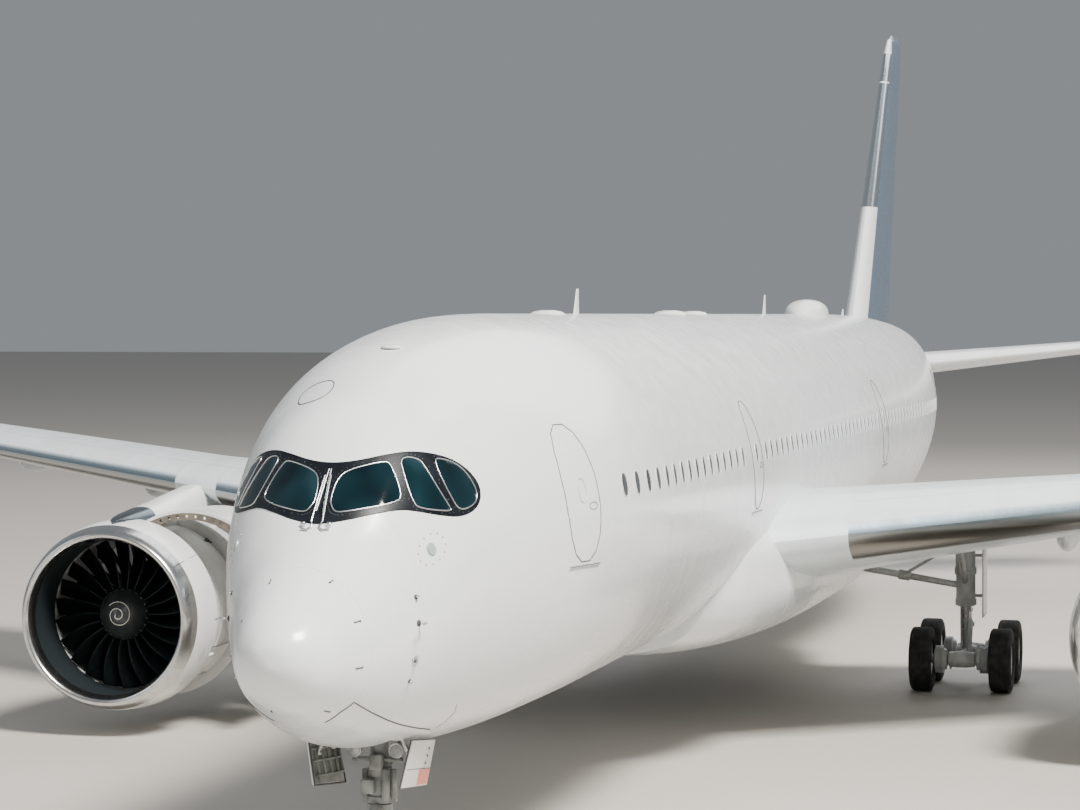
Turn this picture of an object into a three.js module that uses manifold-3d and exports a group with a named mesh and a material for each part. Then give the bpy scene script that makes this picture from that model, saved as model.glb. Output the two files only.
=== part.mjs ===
// Twin-engine wide-body airliner on its landing gear, as a model at half of full size.
// Millimetres. +X is the port side, -Y is ahead of the nose, +Z is up.
// The origin is on the ground under the middle of the length.
import * as THREE from "three";
import { mergeVertices } from "three/addons/utils/BufferGeometryUtils.js";
import Module from "manifold-3d";

const wasm = await Module();
wasm.setup();

// Driving dimensions: metres of the full-size aircraft, times M for model millimetres
const M = 500;
const length = 66.8;
const span = 64.75;
const seam = 0.0008; // half of the gap between two pieces that meet
const clearance = 0.014; // running gap round a moving panel

const barrel = { halfWidth: 2.98, top: 8.28, bottom: 2.19 };
const station = { radomeJoint: 1.14, noseEnd: 10.5, midJoint: 27, barrelEnd: 44 };
const engineAxis = { x: 10.2, z: 2.34 };
const wheelbase = { nose: 4.75, main: 33.4 };
const mainGear = {
  track: 10.6, tyreRadius: 0.7, tyreWidth: 0.5, twin: 1.73, axleSpacing: 2.04, axleRadius: 0.1,
};
const noseGear = { tyreRadius: 0.525, tyreWidth: 0.36, twin: 0.71, axleRadius: 0.06 };
const openCowlAngle = 40; // degrees; the starboard engine's inboard fan cowl stands open

// Colours and finishes
const finish = {
  whitePaint: { color: 0xe6ebeb, roughness: 0.3, metalness: 0 },
  bluePaint: { color: 0x5d6f80, roughness: 0.3, metalness: 0 },
  greyPaint: { color: 0xb9c2c4, roughness: 0.45, metalness: 0 },
  glass: { color: 0x0c1518, roughness: 0.08, metalness: 0 },
  bareMetal: { color: 0xc4c2be, roughness: 0.28, metalness: 1 },
  hotMetal: { color: 0x6f6a64, roughness: 0.45, metalness: 1 },
  fanMetal: { color: 0x22282b, roughness: 0.35, metalness: 0.6 },
  gearPaint: { color: 0xc9cdcd, roughness: 0.4, metalness: 0.1 },
  rubber: { color: 0x17181a, roughness: 0.85, metalness: 0 },
};

const aircraft = new THREE.Group();

// Solids

const toSolid = (geometry) => {
  const bare = new THREE.BufferGeometry();
  bare.setAttribute("position", geometry.getAttribute("position"));
  if (geometry.index) {
    bare.setIndex(geometry.index);
  }
  const merged = mergeVertices(bare, 1e-3);
  const index = merged.index.array;
  const triangles = [];
  for (let i = 0; i < index.length; i += 3) {
    const [a, b, c] = [index[i], index[i + 1], index[i + 2]];
    if (a !== b && b !== c && c !== a) {
      triangles.push(a, b, c);
    }
  }
  const vertProperties = new Float32Array(merged.getAttribute("position").array);
  const mesh = new wasm.Mesh({ numProp: 3, vertProperties, triVerts: new Uint32Array(triangles) });
  return new wasm.Manifold(mesh);
};

const toGeometry = (solid) => {
  const mesh = solid.getMesh();
  const geometry = new THREE.BufferGeometry();
  const positions = new Float32Array(mesh.vertProperties);
  geometry.setAttribute("position", new THREE.BufferAttribute(positions, 3));
  geometry.setIndex(new THREE.BufferAttribute(new Uint32Array(mesh.triVerts), 1));
  geometry.computeVertexNormals();
  return geometry;
};

const addPiece = (name, solid, look) => {
  const mesh = new THREE.Mesh(toGeometry(solid), new THREE.MeshStandardMaterial(finish[look]));
  mesh.name = name;
  aircraft.add(mesh);
};

// A point of the full-size aircraft, in model millimetres
const at = (x, y, z) => new THREE.Vector3(x * M, (y - length / 2) * M, z * M);

// A closed skin through rings of equal point count, each ring flat and convex or nearly so
const loft = (rings) => {
  const count = rings[0].length;
  const positions = rings.flat().flatMap((point) => [point.x, point.y, point.z]);
  const faces = [];
  for (let r = 0; r < rings.length - 1; r += 1) {
    for (let i = 0; i < count; i += 1) {
      const next = (i + 1) % count;
      const [a, b] = [r * count + i, r * count + next];
      const [c, d] = [a + count, b + count];
      faces.push([a, b, d], [a, d, c]);
    }
  }
  const last = (rings.length - 1) * count;
  for (let i = 0; i < Math.floor((count - 1) / 2); i += 1) {
    const [p, q] = [i, i + 1];
    const [s, t] = [count - 1 - i, count - 2 - i];
    faces.push([p, q, s].reverse(), [last + p, last + q, last + s]);
    if (q !== t) {
      faces.push([q, t, s].reverse(), [last + q, last + t, last + s]);
    }
  }
  const point = (i) => new THREE.Vector3().fromArray(positions, 3 * i);
  const volume = faces.reduce((sum, [a, b, c]) => sum + point(a).dot(point(b).cross(point(c))), 0);
  const index = volume < 0 ? faces.map(([a, b, c]) => [a, c, b]) : faces;
  const geometry = new THREE.BufferGeometry();
  geometry.setAttribute("position", new THREE.Float32BufferAttribute(positions, 3));
  geometry.setIndex(index.flat());
  return toSolid(geometry);
};

// A solid of revolution round an axis along Y; the profile is [radius, y] and closes on itself
const revolve = (profile, x, z, segments = 24) => {
  const points = [...profile, profile[0]].map(([radius, y]) => new THREE.Vector2(radius * M, y * M));
  const area = THREE.ShapeUtils.area(points);
  const outward = area > 0 ? points : points.reverse();
  const geometry = new THREE.LatheGeometry(outward, segments);
  geometry.translate(x * M, (-length / 2) * M, z * M);
  return toSolid(geometry);
};

// A round bar between two points
const bar = (from, to, radius, segments = 16) => {
  const along = to.clone().sub(from);
  const geometry = new THREE.CylinderGeometry(radius * M, radius * M, along.length(), segments);
  const upright = new THREE.Vector3(0, 1, 0);
  const turn = new THREE.Quaternion().setFromUnitVectors(upright, along.clone().normalize());
  geometry.applyQuaternion(turn);
  geometry.translate(...from.clone().add(to).multiplyScalar(0.5));
  return toSolid(geometry);
};

// A box between two corners
const block = (low, high) => {
  const size = high.clone().sub(low);
  const geometry = new THREE.BoxGeometry(size.x, size.y, size.z);
  geometry.translate(...low.clone().add(high).multiplyScalar(0.5));
  return toSolid(geometry);
};

const unite = (solids) => solids.reduce((whole, solid) => whole.add(solid));

const astern = new THREE.Vector3(0, 1, 0);

// Puts an outline drawn across a hinge line, x aft and y up, in its place along the line
const alongHinge = (outline, from, to, away, start, depth) => {
  const axis = to.clone().sub(from).normalize();
  const aft = away.clone().addScaledVector(axis, -away.dot(axis)).normalize();
  const up = new THREE.Vector3().crossVectors(axis, aft);
  const geometry = new THREE.ExtrudeGeometry(outline, { depth, bevelEnabled: false, curveSegments: 10 });
  geometry.translate(0, 0, start);
  geometry.applyMatrix4(new THREE.Matrix4().makeBasis(aft, up, axis).setPosition(from));
  return toSolid(geometry);
};

// The space swept by a hinged panel: all that lies aft of the hinge line, with a round nose on it.
// away is the direction aft of the hinge, and grow widens the space on every side.
const hingedSpace = (from, to, away, radius, reach, tall, grow) => {
  const [edge, nose, half] = [grow * M, (radius + grow) * M, tall * M];
  const start = Math.acos(-edge / nose);
  const outline = new THREE.Shape();
  outline.moveTo(reach * M, -half);
  outline.lineTo(reach * M, half);
  outline.lineTo(-edge, half);
  outline.lineTo(-edge, nose * Math.sin(start));
  outline.absarc(0, 0, nose, start, 2 * Math.PI - start, false);
  outline.lineTo(-edge, -half);
  outline.closePath();
  return alongHinge(outline, from, to, away, -edge, to.distanceTo(from) + 2 * edge);
};

// A hinge boss on what carries a panel, standing at the end of the hinge line and just clear of it
const endBoss = (end, other, radius) => {
  const outward = end.clone().sub(other).normalize();
  const start = end.clone().addScaledVector(outward, seam * M);
  return bar(start, end.clone().addScaledVector(outward, (clearance + 0.03) * M), radius, 8);
};

// Fuselage: half width, top and bottom at each station
const fuselageTable = [
  { y: 0.0, halfWidth: 0.05, top: 4.03, bottom: 3.93 },
  { y: 0.12, halfWidth: 0.36, top: 4.32, bottom: 3.63 },
  { y: 0.4, halfWidth: 0.62, top: 4.56, bottom: 3.33 },
  { y: 0.8, halfWidth: 0.8, top: 4.83, bottom: 3.14 },
  { y: 1.14, halfWidth: 0.93, top: 5.05, bottom: 3.0 },
  { y: 1.8, halfWidth: 1.17, top: 5.55, bottom: 2.76 },
  { y: 2.4, halfWidth: 1.42, top: 6.2, bottom: 2.6 },
  { y: 3.2, halfWidth: 1.71, top: 6.98, bottom: 2.47 },
  { y: 4.2, halfWidth: 2.02, top: 7.42, bottom: 2.36 },
  { y: 5.4, halfWidth: 2.35, top: 7.81, bottom: 2.26 },
  { y: 6.8, halfWidth: 2.67, top: 8.07, bottom: 2.21 },
  { y: 8.4, halfWidth: 2.88, top: 8.23, bottom: 2.2 },
  { y: 10.5, halfWidth: 2.98, top: 8.28, bottom: 2.19 },
  { y: 44, halfWidth: 2.98, top: 8.28, bottom: 2.19 },
  { y: 47, halfWidth: 2.95, top: 8.28, bottom: 2.36 },
  { y: 50, halfWidth: 2.8, top: 8.26, bottom: 2.8 },
  { y: 53, halfWidth: 2.52, top: 8.22, bottom: 3.4 },
  { y: 56, halfWidth: 2.13, top: 8.14, bottom: 4.1 },
  { y: 59, halfWidth: 1.65, top: 8.02, bottom: 4.85 },
  { y: 62, halfWidth: 1.1, top: 7.84, bottom: 5.62 },
  { y: 64.5, halfWidth: 0.68, top: 7.62, bottom: 6.25 },
  { y: 66.8, halfWidth: 0.3, top: 7.33, bottom: 6.75 },
];

// The widest line lies a little below the middle height in the nose
const widestHeight = ({ y, top, bottom }) => {
  const droop = 0.12 * THREE.MathUtils.clamp(1 - y / 6, 0, 1) * Math.min(1, y / 1.5);
  return (top + bottom) / 2 - droop;
};

const fuselageRing = (row, inset = 0, points = 32) => {
  const middle = widestHeight(row);
  return Array.from({ length: points }, (_, i) => {
    const angle = (2 * Math.PI * (i + 0.5)) / points;
    const height = Math.sin(angle) > 0 ? row.top - middle : middle - row.bottom;
    const x = (row.halfWidth - inset) * Math.cos(angle);
    return at(x, row.y, middle + (height - inset) * Math.sin(angle));
  });
};

const rowAt = (y) => {
  const next = Math.max(1, fuselageTable.findIndex((row) => row.y >= y));
  const [a, b] = [fuselageTable[next - 1], fuselageTable[next]];
  const t = (y - a.y) / (b.y - a.y);
  const between = (key) => THREE.MathUtils.lerp(a[key], b[key], t);
  return { y, halfWidth: between("halfWidth"), top: between("top"), bottom: between("bottom") };
};

// A length of fuselage from one station to another; inset makes the body smaller all round
const fuselage = (from, to, inset = 0) => {
  const inner = fuselageTable.filter((row) => row.y > from + 0.01 && row.y < to - 0.01);
  return loft([rowAt(from), ...inner, rowAt(to)].map((row) => fuselageRing(row, inset)));
};

// Half of the windscreen's outline seen from ahead, from the lower middle round to the upper middle
const windscreenOutline = [
  [0, 5.55], [0.35, 5.6], [0.97, 5.73], [1.2, 5.68], [1.5, 5.59], [1.68, 5.68], [1.69, 5.9], [1.58, 6.14],
  [1.38, 6.33], [1.16, 6.43], [0.9, 6.46], [0.3, 6.34], [0, 6.31],
];
const windscreenThickness = 0.07;

const windscreenPrism = (grow) => {
  const half = windscreenOutline.map(([x, z]) => new THREE.Vector2(x, z));
  const centre = new THREE.Vector2(0.85, 6.02);
  const wider = half.map((p) => {
    const out = p.clone().sub(centre).normalize().multiplyScalar(grow);
    return new THREE.Vector2(p.x === 0 ? 0 : p.x + out.x, p.y + (p.y > 6 ? grow : -grow));
  });
  const mirrored = wider.slice(1, -1).reverse().map((p) => new THREE.Vector2(-p.x, p.y));
  const outline = new THREE.Shape([...wider, ...mirrored].map((p) => p.multiplyScalar(M)));
  const geometry = new THREE.ExtrudeGeometry(outline, { depth: 3.6 * M, bevelEnabled: false });
  geometry.rotateX(Math.PI / 2);
  geometry.translate(0, (4.9 - length / 2) * M, 0);
  return toSolid(geometry);
};

const holdDoors = [
  { name: "forward_cargo_door", from: 12.4, to: 15.2 },
  { name: "aft_cargo_door", from: 40.4, to: 43.2 },
];
const holdDoor = { bottom: 2.85, top: 4.8, thickness: 0.12 };
const noseBay = { halfWidth: 0.56, from: 3.3, to: 6.9, top: 3.35 };

// Flat pads where jacks lift the aircraft; z is the pad's lower face
const jacks = [
  { name: "jacking_pad_nose", x: 0, y: 11.4, z: 2.16, rise: 0.1 },
  { name: "jacking_pad_port", x: 13.9, y: 31, z: 4.51, rise: 0.25 },
  { name: "jacking_pad_starboard", x: -13.9, y: 31, z: 4.51, rise: 0.25 },
];
const jackPad = ({ x, y, z, rise }) => bar(at(x, y, z), at(x, y, z + rise), 0.09, 12);

const noseBaySpace = (shrink) => {
  const half = noseBay.halfWidth - shrink;
  return block(at(-half, noseBay.from, 1.9), at(half, noseBay.to, noseBay.top));
};

const holdDoorSpace = ({ from, to }, grow) => block(
  at(-barrel.halfWidth - 0.3, from - grow, holdDoor.bottom - grow),
  at(-1, to + grow, holdDoor.top + grow),
);

// Hinge knuckles of the cargo doors at shares of a door's length, turn about on fuselage and door,
// each on an arm that ends in the skin at the height foot
const doorHinge = { x: -2.962, z: 4.812, radius: 0.024, notch: 0.038, armRadius: 0.018, armEnd: -2.88 };
const doorKnuckles = [
  { start: 0.42, end: 0.47, foot: 4.75, onDoor: true },
  { start: 0.47, end: 0.53, foot: 4.9, onDoor: false },
  { start: 0.53, end: 0.58, foot: 4.75, onDoor: true },
];

// The knuckles of one side of a door's hinge, and the notches that they need in the other side
const doorKnucklesOf = ({ from, to }, onDoor) => {
  const { x, z, radius, notch, armRadius, armEnd } = doorHinge;
  const along = (share) => from + share * (to - from);
  const round = (start, end, size) => bar(at(x, start, z), at(x, end, z), size, 8);
  const own = doorKnuckles.filter((knuckle) => knuckle.onDoor === onDoor);
  const rounds = own.map(({ start, end }) => round(along(start) + seam, along(end), radius));
  const arms = own.map(({ start, end, foot }) => {
    const middle = along((start + end) / 2);
    return bar(at(x, middle, z), at(armEnd, middle, foot), armRadius, 6);
  });
  const notches = own.map(({ start, end }) => round(along(start), along(end) + seam, notch));
  return { knuckles: unite([...rounds, ...arms]), notches: unite(notches) };
};

const buildFuselage = () => {
  addPiece("radome", fuselage(0, station.radomeJoint - seam), "whitePaint");

  const nose = fuselage(station.radomeJoint, station.noseEnd - seam);
  const core = fuselage(station.radomeJoint, station.noseEnd - seam, windscreenThickness);
  addPiece("windscreen", nose.intersect(windscreenPrism(0)).subtract(core), "glass");
  const innerCore = fuselage(station.radomeJoint, station.noseEnd - seam, windscreenThickness + 2 * seam);
  const frame = windscreenPrism(2 * seam).subtract(innerCore);
  const bay = noseBaySpace(0);
  addPiece("nose_section", nose.subtract(frame).subtract(bay), "whitePaint");

  const lengths = [
    { name: "forward_fuselage", from: station.noseEnd, to: station.midJoint - seam, door: holdDoors[0] },
    { name: "aft_fuselage", from: station.midJoint, to: station.barrelEnd - seam, door: holdDoors[1] },
  ];
  for (const { name, from, to, door } of lengths) {
    const shell = fuselage(from, to);
    const hold = block(at(-2.6, door.from + 0.15, 2.95), at(1.5, door.to - 0.15, 4.65));
    const inside = fuselage(from, to, holdDoor.thickness);
    const insideOfHold = fuselage(from, to, holdDoor.thickness + clearance);
    const opened = shell.subtract(holdDoorSpace(door, clearance).subtract(insideOfHold)).subtract(hold);
    const [fixed, moving] = [doorKnucklesOf(door, false), doorKnucklesOf(door, true)];
    const cut = opened.subtract(moving.notches).add(fixed.knuckles);
    addPiece(name, name === "forward_fuselage" ? cut.add(jackPad(jacks[0])) : cut, "whitePaint");
    const panel = shell.intersect(holdDoorSpace(door, 0)).subtract(inside);
    addPiece(door.name, panel.subtract(fixed.notches).add(moving.knuckles), "whitePaint");
  }

  const exhaust = bar(at(0, 66.2, 7.04), at(0, 67, 7.04), 0.19);
  addPiece("tail_cone", fuselage(station.barrelEnd, length).subtract(exhaust), "whitePaint");
};

// Fairing between the wings: half width, height of its widest line and bottom at each station
const fairingTable = [
  { y: 18.2, halfWidth: 2.2, middle: 3.6, bottom: 2.15 },
  { y: 19.5, halfWidth: 2.75, middle: 3.5, bottom: 2.02 },
  { y: 21.5, halfWidth: 3.1, middle: 3.4, bottom: 1.92 },
  { y: 24.5, halfWidth: 3.3, middle: 3.3, bottom: 1.88 },
  { y: 31.5, halfWidth: 3.3, middle: 3.2, bottom: 1.88 },
  { y: 34.5, halfWidth: 3.15, middle: 3.2, bottom: 1.92 },
  { y: 37, halfWidth: 2.8, middle: 3.4, bottom: 2.02 },
  { y: 39.2, halfWidth: 2.2, middle: 3.6, bottom: 2.15 },
];

const fairing = (grow) => loft(fairingTable.map(({ y, halfWidth, middle, bottom }, i) => {
  const end = (i === 0 ? -grow : 0) + (i === fairingTable.length - 1 ? grow : 0);
  return Array.from({ length: 20 }, (_, k) => {
    const angle = (2 * Math.PI * (k + 0.5)) / 20;
    const squared = (value) => Math.sign(value) * Math.abs(value) ** 0.75;
    const height = Math.sin(angle) > 0 ? 1.5 : middle - bottom + grow;
    const [across, up] = [Math.cos(angle), Math.sin(angle)].map(squared);
    return at((halfWidth + grow) * across, y + end, middle + height * up);
  });
}));

// Wing, outboard to the raised tip. Twist and cant in degrees, the rest in metres.
const wingTable = [
  { x: 1.9, y: 20.24, z: 3.94, chord: 14.66, thickness: 0.13, twist: 3.6, cant: 0 },
  { x: 10.9, y: 26.54, z: 4.71, chord: 8.36, thickness: 0.112, twist: 2.2, cant: 5 },
  { x: 21, y: 33.61, z: 5.56, chord: 5.3, thickness: 0.102, twist: 0.8, cant: 5 },
  { x: 27.6, y: 38.23, z: 6.12, chord: 3.3, thickness: 0.098, twist: 0, cant: 6 },
  { x: 29.4, y: 39.6, z: 6.42, chord: 2.75, thickness: 0.095, twist: 0, cant: 20 },
  { x: 30.6, y: 40.75, z: 6.95, chord: 2.3, thickness: 0.092, twist: 0, cant: 33 },
  { x: 31.4, y: 41.9, z: 7.6, chord: 1.85, thickness: 0.09, twist: 0, cant: 45 },
  { x: 31.95, y: 43.2, z: 8.25, chord: 1.4, thickness: 0.09, twist: 0, cant: 55 },
  { x: span / 2, y: 44.9, z: 8.9, chord: 0.75, thickness: 0.09, twist: 0, cant: 62 },
];

// Half thickness of an aerofoil of chord one at a share of its chord
const halfThickness = (t) => (
  5 * (0.2969 * Math.sqrt(t) - 0.126 * t - 0.3516 * t ** 2 + 0.2843 * t ** 3 - 0.1016 * t ** 4)
);
const camber = (t) => 0.06 * t * (1 - t) ** 2 + 0.05 * t ** 3 * (1 - t);

const chordPoint = ({ x, y, z, chord, twist, cant }, along, up) => {
  const turn = THREE.MathUtils.degToRad(twist);
  const lean = THREE.MathUtils.degToRad(cant);
  const aft = chord * (along * Math.cos(turn) + up * Math.sin(turn));
  const rise = chord * (up * Math.cos(turn) - along * Math.sin(turn));
  return at(x - rise * Math.sin(lean), y + aft, z + rise * Math.cos(lean));
};

const aerofoilRing = (row, bend, steps) => {
  const shares = Array.from({ length: steps + 1 }, (_, i) => (1 - Math.cos((Math.PI * i) / steps)) / 2);
  const height = (t, side) => bend * camber(t) + side * (row.thickness * halfThickness(t) + 0.0008 * t);
  const upper = shares.toReversed().map((t) => chordPoint(row, t, height(t, 1)));
  const lower = shares.slice(1).map((t) => chordPoint(row, t, height(t, -1)));
  return [...upper, ...lower];
};

const surface = (table, bend = 1, steps = 8) => loft(table.map((row) => aerofoilRing(row, bend, steps)));

const tableAt = (table, x) => {
  const next = Math.max(1, table.findIndex((row) => row.x >= x));
  const [a, b] = [table[next - 1], table[next]];
  const t = (x - a.x) / (b.x - a.x);
  return Object.fromEntries(Object.keys(a).map((key) => [key, THREE.MathUtils.lerp(a[key], b[key], t)]));
};

// Hinged panels of the wing: ends across the span, hinge as a share of the chord,
// and how far the hinge lies below the lower skin
const wingPanels = [
  { name: "inboard_flap", from: 3.75, to: 10.35, share: [0.885, 0.79], drop: 0.42, reach: 3.2 },
  { name: "outboard_flap", from: 11.75, to: 22.6, share: [0.775, 0.765], drop: 0.34, reach: 3.2 },
  { name: "aileron", from: 23.5, to: 27.7, share: [0.77, 0.77], drop: 0, reach: 2.2 },
];
// Canoe-shaped housings of the flap tracks under the wing
const trackFairings = [
  { x: 7.6, halfWidth: 0.25, depth: 0.72, ahead: 2.6, astern: 0.9 },
  { x: 13.4, halfWidth: 0.25, depth: 0.66, ahead: 2.5, astern: 1.0 },
  { x: 17.3, halfWidth: 0.23, depth: 0.58, ahead: 2.3, astern: 0.9 },
  { x: 21.2, halfWidth: 0.2, depth: 0.5, ahead: 2.1, astern: 0.8 },
];

const lowerSkin = (x, share) => {
  const row = tableAt(wingTable, x);
  return chordPoint(row, share, camber(share) - row.thickness * halfThickness(share));
};

const middleLine = (x, share) => chordPoint(tableAt(wingTable, x), share, camber(share));

const panelHinge = ({ from, to, share, drop }) => {
  const below = new THREE.Vector3(0, 0, -drop * M);
  const place = (x, s) => (drop > 0 ? lowerSkin(x, s).add(below) : middleLine(x, s));
  return [place(from, share[0]), place(to, share[1])];
};

const panelRadius = ({ from, share, drop }) => {
  const row = tableAt(wingTable, from);
  return drop > 0 ? 0.25 : 1.04 * row.chord * row.thickness * halfThickness(share[0]);
};

const panelSpace = (panel, grow) => {
  const [from, to] = panelHinge(panel);
  const tall = panel.drop > 0 ? 1.6 : 0.8;
  return hingedSpace(from, to, astern, panelRadius(panel), panel.reach, tall, grow);
};

const trackFairing = ({ x, halfWidth, depth, ahead, astern }) => {
  const flap = wingPanels.find(({ from, to }) => x > from && x < to);
  const [from, to] = panelHinge(flap);
  const t = (x * M - from.x) / (to.x - from.x);
  const hinge = from.clone().lerp(to, t);
  const row = tableAt(wingTable, x);
  const trailing = chordPoint(row, 1, 0);
  const start = hinge.y / M + length / 2 - ahead;
  const end = trailing.y / M + length / 2 + astern;
  const sections = 6;
  return loft(Array.from({ length: sections }, (_, s) => {
    const u = s / (sections - 1);
    const y = THREE.MathUtils.lerp(start, end, u);
    const fullness = Math.max(0.08, Math.sin(Math.PI * Math.min(u, 0.999) ** 0.8)) ** 0.7;
    const share = THREE.MathUtils.clamp((y - row.y) / row.chord, 0.1, 0.99);
    const skin = lowerSkin(x, share).z / M;
    const centre = skin - 0.15 - (depth - 0.35) * 0.5 * fullness + 0.12 * u;
    return Array.from({ length: 8 }, (__, k) => {
      const angle = (2 * Math.PI * (k + 0.5)) / 8;
      const across = halfWidth * fullness * Math.cos(angle);
      const up = depth * 0.55 * fullness * Math.sin(angle);
      return at(x + across, y, centre + up);
    });
  }));
};

// Each flap hangs on a tongue that reaches back to its hinge line inside a track housing.
// A plate lies at one housing, from ahead of the hinge line to astern of it.
const hingePlate = ({ x }, halfWidth, ahead, behind, below, above) => {
  const flap = wingPanels.find(({ from, to }) => x > from && x < to);
  const [from, to] = panelHinge(flap);
  const middle = ((x * M - from.x) / (to.x - from.x)) * to.distanceTo(from);
  const outline = new THREE.Shape();
  outline.moveTo(-ahead * M, -below * M);
  outline.lineTo(behind * M, -below * M);
  outline.lineTo(behind * M, above * M);
  outline.lineTo(-ahead * M, above * M);
  outline.closePath();
  return alongHinge(outline, from, to, astern, middle - halfWidth * M, 2 * halfWidth * M);
};

const tongue = { halfWidth: 0.05, halfHeight: 0.09, ahead: 0.45 };
const tongueOf = (housing) => hingePlate(
  housing, tongue.halfWidth, tongue.ahead, 0, tongue.halfHeight, tongue.halfHeight,
);
const tongueHousings = trackFairings.filter((_, i) => i % 2 === 0);
const slotOf = (housing) => hingePlate(
  housing, tongue.halfWidth + seam, tongue.ahead, tongue.halfHeight + clearance, 0.5, 0.3,
);

const mirror = (solid, side) => (side > 0 ? solid : solid.mirror([1, 0, 0]));
const sides = [{ side: 1, word: "port" }, { side: -1, word: "starboard" }];

const buildWings = (body) => {
  const whole = unite([surface(wingTable), ...trackFairings.map(trackFairing), jackPad(jacks[1])]);
  const cut = wingPanels.reduce((rest, panel) => rest.subtract(panelSpace(panel, clearance)), whole);
  const aileron = wingPanels.find(({ drop }) => drop === 0);
  const [inner, outer] = panelHinge(aileron);
  const bosses = [endBoss(inner, outer, 0.035), endBoss(outer, inner, 0.025)];
  const fixed = unite([cut, ...bosses, ...tongueHousings.map(tongueOf)]);
  const slots = unite(tongueHousings.map(slotOf));
  const panels = wingPanels.map((panel) => whole.intersect(panelSpace(panel, 0)).subtract(slots));
  for (const { side, word } of sides) {
    addPiece(`wing_${word}`, mirror(fixed, side).subtract(body), "greyPaint");
    for (const [i, { name }] of wingPanels.entries()) {
      addPiece(`${name}_${word}`, mirror(panels[i], side), "greyPaint");
    }
  }
  return fixed;
};

// Tail surfaces
const tailplaneTable = [
  { x: 0.9, y: 56.6, z: 6.75, chord: 6.9, thickness: 0.1, twist: 0, cant: 0 },
  { x: 9.1, y: 62.3, z: 7.55, chord: 2.6, thickness: 0.09, twist: 0, cant: 5 },
  { x: 9.36, y: 62.75, z: 7.58, chord: 2.1, thickness: 0.06, twist: 0, cant: 5 },
];
const elevator = { from: 1.3, to: 8.8, share: 0.7, inner: 1.75, innerGap: 0.038 };

// The fin stands up, so its span is in z
const finTable = [
  { z: 7.2, y: 52.7, chord: 9.05, thickness: 0.1 },
  { z: 8.3, y: 53.95, chord: 8.2, thickness: 0.1 },
  { z: 16.35, y: 61.5, chord: 3.75, thickness: 0.095 },
  { z: 16.85, y: 62.15, chord: 3.2, thickness: 0.08 },
  { z: 17.05, y: 62.85, chord: 2.45, thickness: 0.04 },
];
const rudder = { from: 7.9, to: 16.1, share: 0.69, lower: 8.32, lowerGap: 0.085 };

const finPoint = ({ y, z, chord }, along, up) => at(chord * up, y + chord * along, z);

const finRing = (row) => {
  const steps = 8;
  const shares = Array.from({ length: steps + 1 }, (_, i) => (1 - Math.cos((Math.PI * i) / steps)) / 2);
  const half = (t) => row.thickness * halfThickness(t) + 0.0008 * t;
  return [
    ...shares.toReversed().map((t) => finPoint(row, t, half(t))),
    ...shares.slice(1).map((t) => finPoint(row, t, -half(t))),
  ];
};

const finRowAt = (z) => {
  const next = Math.max(1, finTable.findIndex((row) => row.z >= z));
  const [a, b] = [finTable[next - 1], finTable[next]];
  const t = (z - a.z) / (b.z - a.z);
  return Object.fromEntries(Object.keys(a).map((key) => [key, THREE.MathUtils.lerp(a[key], b[key], t)]));
};

const buildTail = (body) => {
  const half = surface(tailplaneTable, 0);
  const innerFace = (grow) => block(at(elevator.inner - grow, 50, 3), at(15, 70, 12));
  const hingeAt = (x) => chordPoint(tableAt(tailplaneTable, x), elevator.share, 0);
  const ends = [elevator.from, elevator.to].map(hingeAt);
  const root = tableAt(tailplaneTable, elevator.inner);
  const noseRadius = 1.04 * root.chord * root.thickness * halfThickness(elevator.share);
  const elevatorSpace = (grow, gap) => (
    hingedSpace(...ends, astern, noseRadius, 3, 0.8, grow).intersect(innerFace(gap))
  );
  const elevatorBoss = endBoss(ends[1], ends[0], 0.022);
  const tailplane = half.subtract(elevatorSpace(clearance, elevator.innerGap)).add(elevatorBoss);
  for (const { side, word } of sides) {
    addPiece(`tailplane_${word}`, mirror(tailplane, side).subtract(body), "whitePaint");
    addPiece(`elevator_${word}`, mirror(half.intersect(elevatorSpace(0, 0)), side), "whitePaint");
  }

  const fin = loft(finTable.map(finRing)).subtract(body);
  const hinge = [rudder.from, rudder.to].map((z) => finPoint(finRowAt(z), rudder.share, 0));
  const low = finRowAt(rudder.lower);
  const rudderRadius = 1.04 * low.chord * low.thickness * halfThickness(rudder.share);
  const lowerFace = (grow) => block(at(-2, 50, rudder.lower - grow), at(2, 72, 20));
  const rudderSpace = (grow, gap) => (
    hingedSpace(...hinge, astern, rudderRadius, 4, 1.2, grow).intersect(lowerFace(gap))
  );
  const rudderBoss = endBoss(hinge[1], hinge[0], 0.035);
  const fixedFin = fin.subtract(rudderSpace(clearance, rudder.lowerGap)).add(rudderBoss);
  addPiece("fin", fixedFin, "bluePaint");
  addPiece("rudder", fin.intersect(rudderSpace(0, 0)), "bluePaint");
};

// Engines: profiles as [radius, station], outside first
const inletProfile = [
  [1.885, 22.0], [1.87, 21.5], [1.81, 21.05], [1.74, 20.8], [1.68, 20.69], [1.62, 20.67],
  [1.56, 20.74], [1.515, 20.95], [1.5, 21.3], [1.525, 22.0],
];
const cowlProfile = [
  [1.885, 22.0], [1.89, 22.8], [1.865, 24.0], [1.805, 24.0], [1.83, 22.8], [1.825, 22.0],
];
const reverserProfile = [
  [1.865, 24.0], [1.79, 24.7], [1.65, 25.45], [1.43, 26.4], [1.405, 26.4], [1.51, 25.2], [1.53, 24.0],
];
const fanCaseProfile = [[1.68, 22.0], [1.68, 22.2], [1.62, 22.3], [1.62, 23.9], [1.53, 23.9], [1.53, 22.0]];
const coreProfile = [
  [0.52, 22.36 + seam], [0.9, 23.6], [0.98, 24.4], [0.94, 25.3], [0.66, 27.3], [0.5, 27.25],
  [0.34, 27.7], [0.03, 28.4], [0.03, 22.36 + seam],
];
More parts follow.
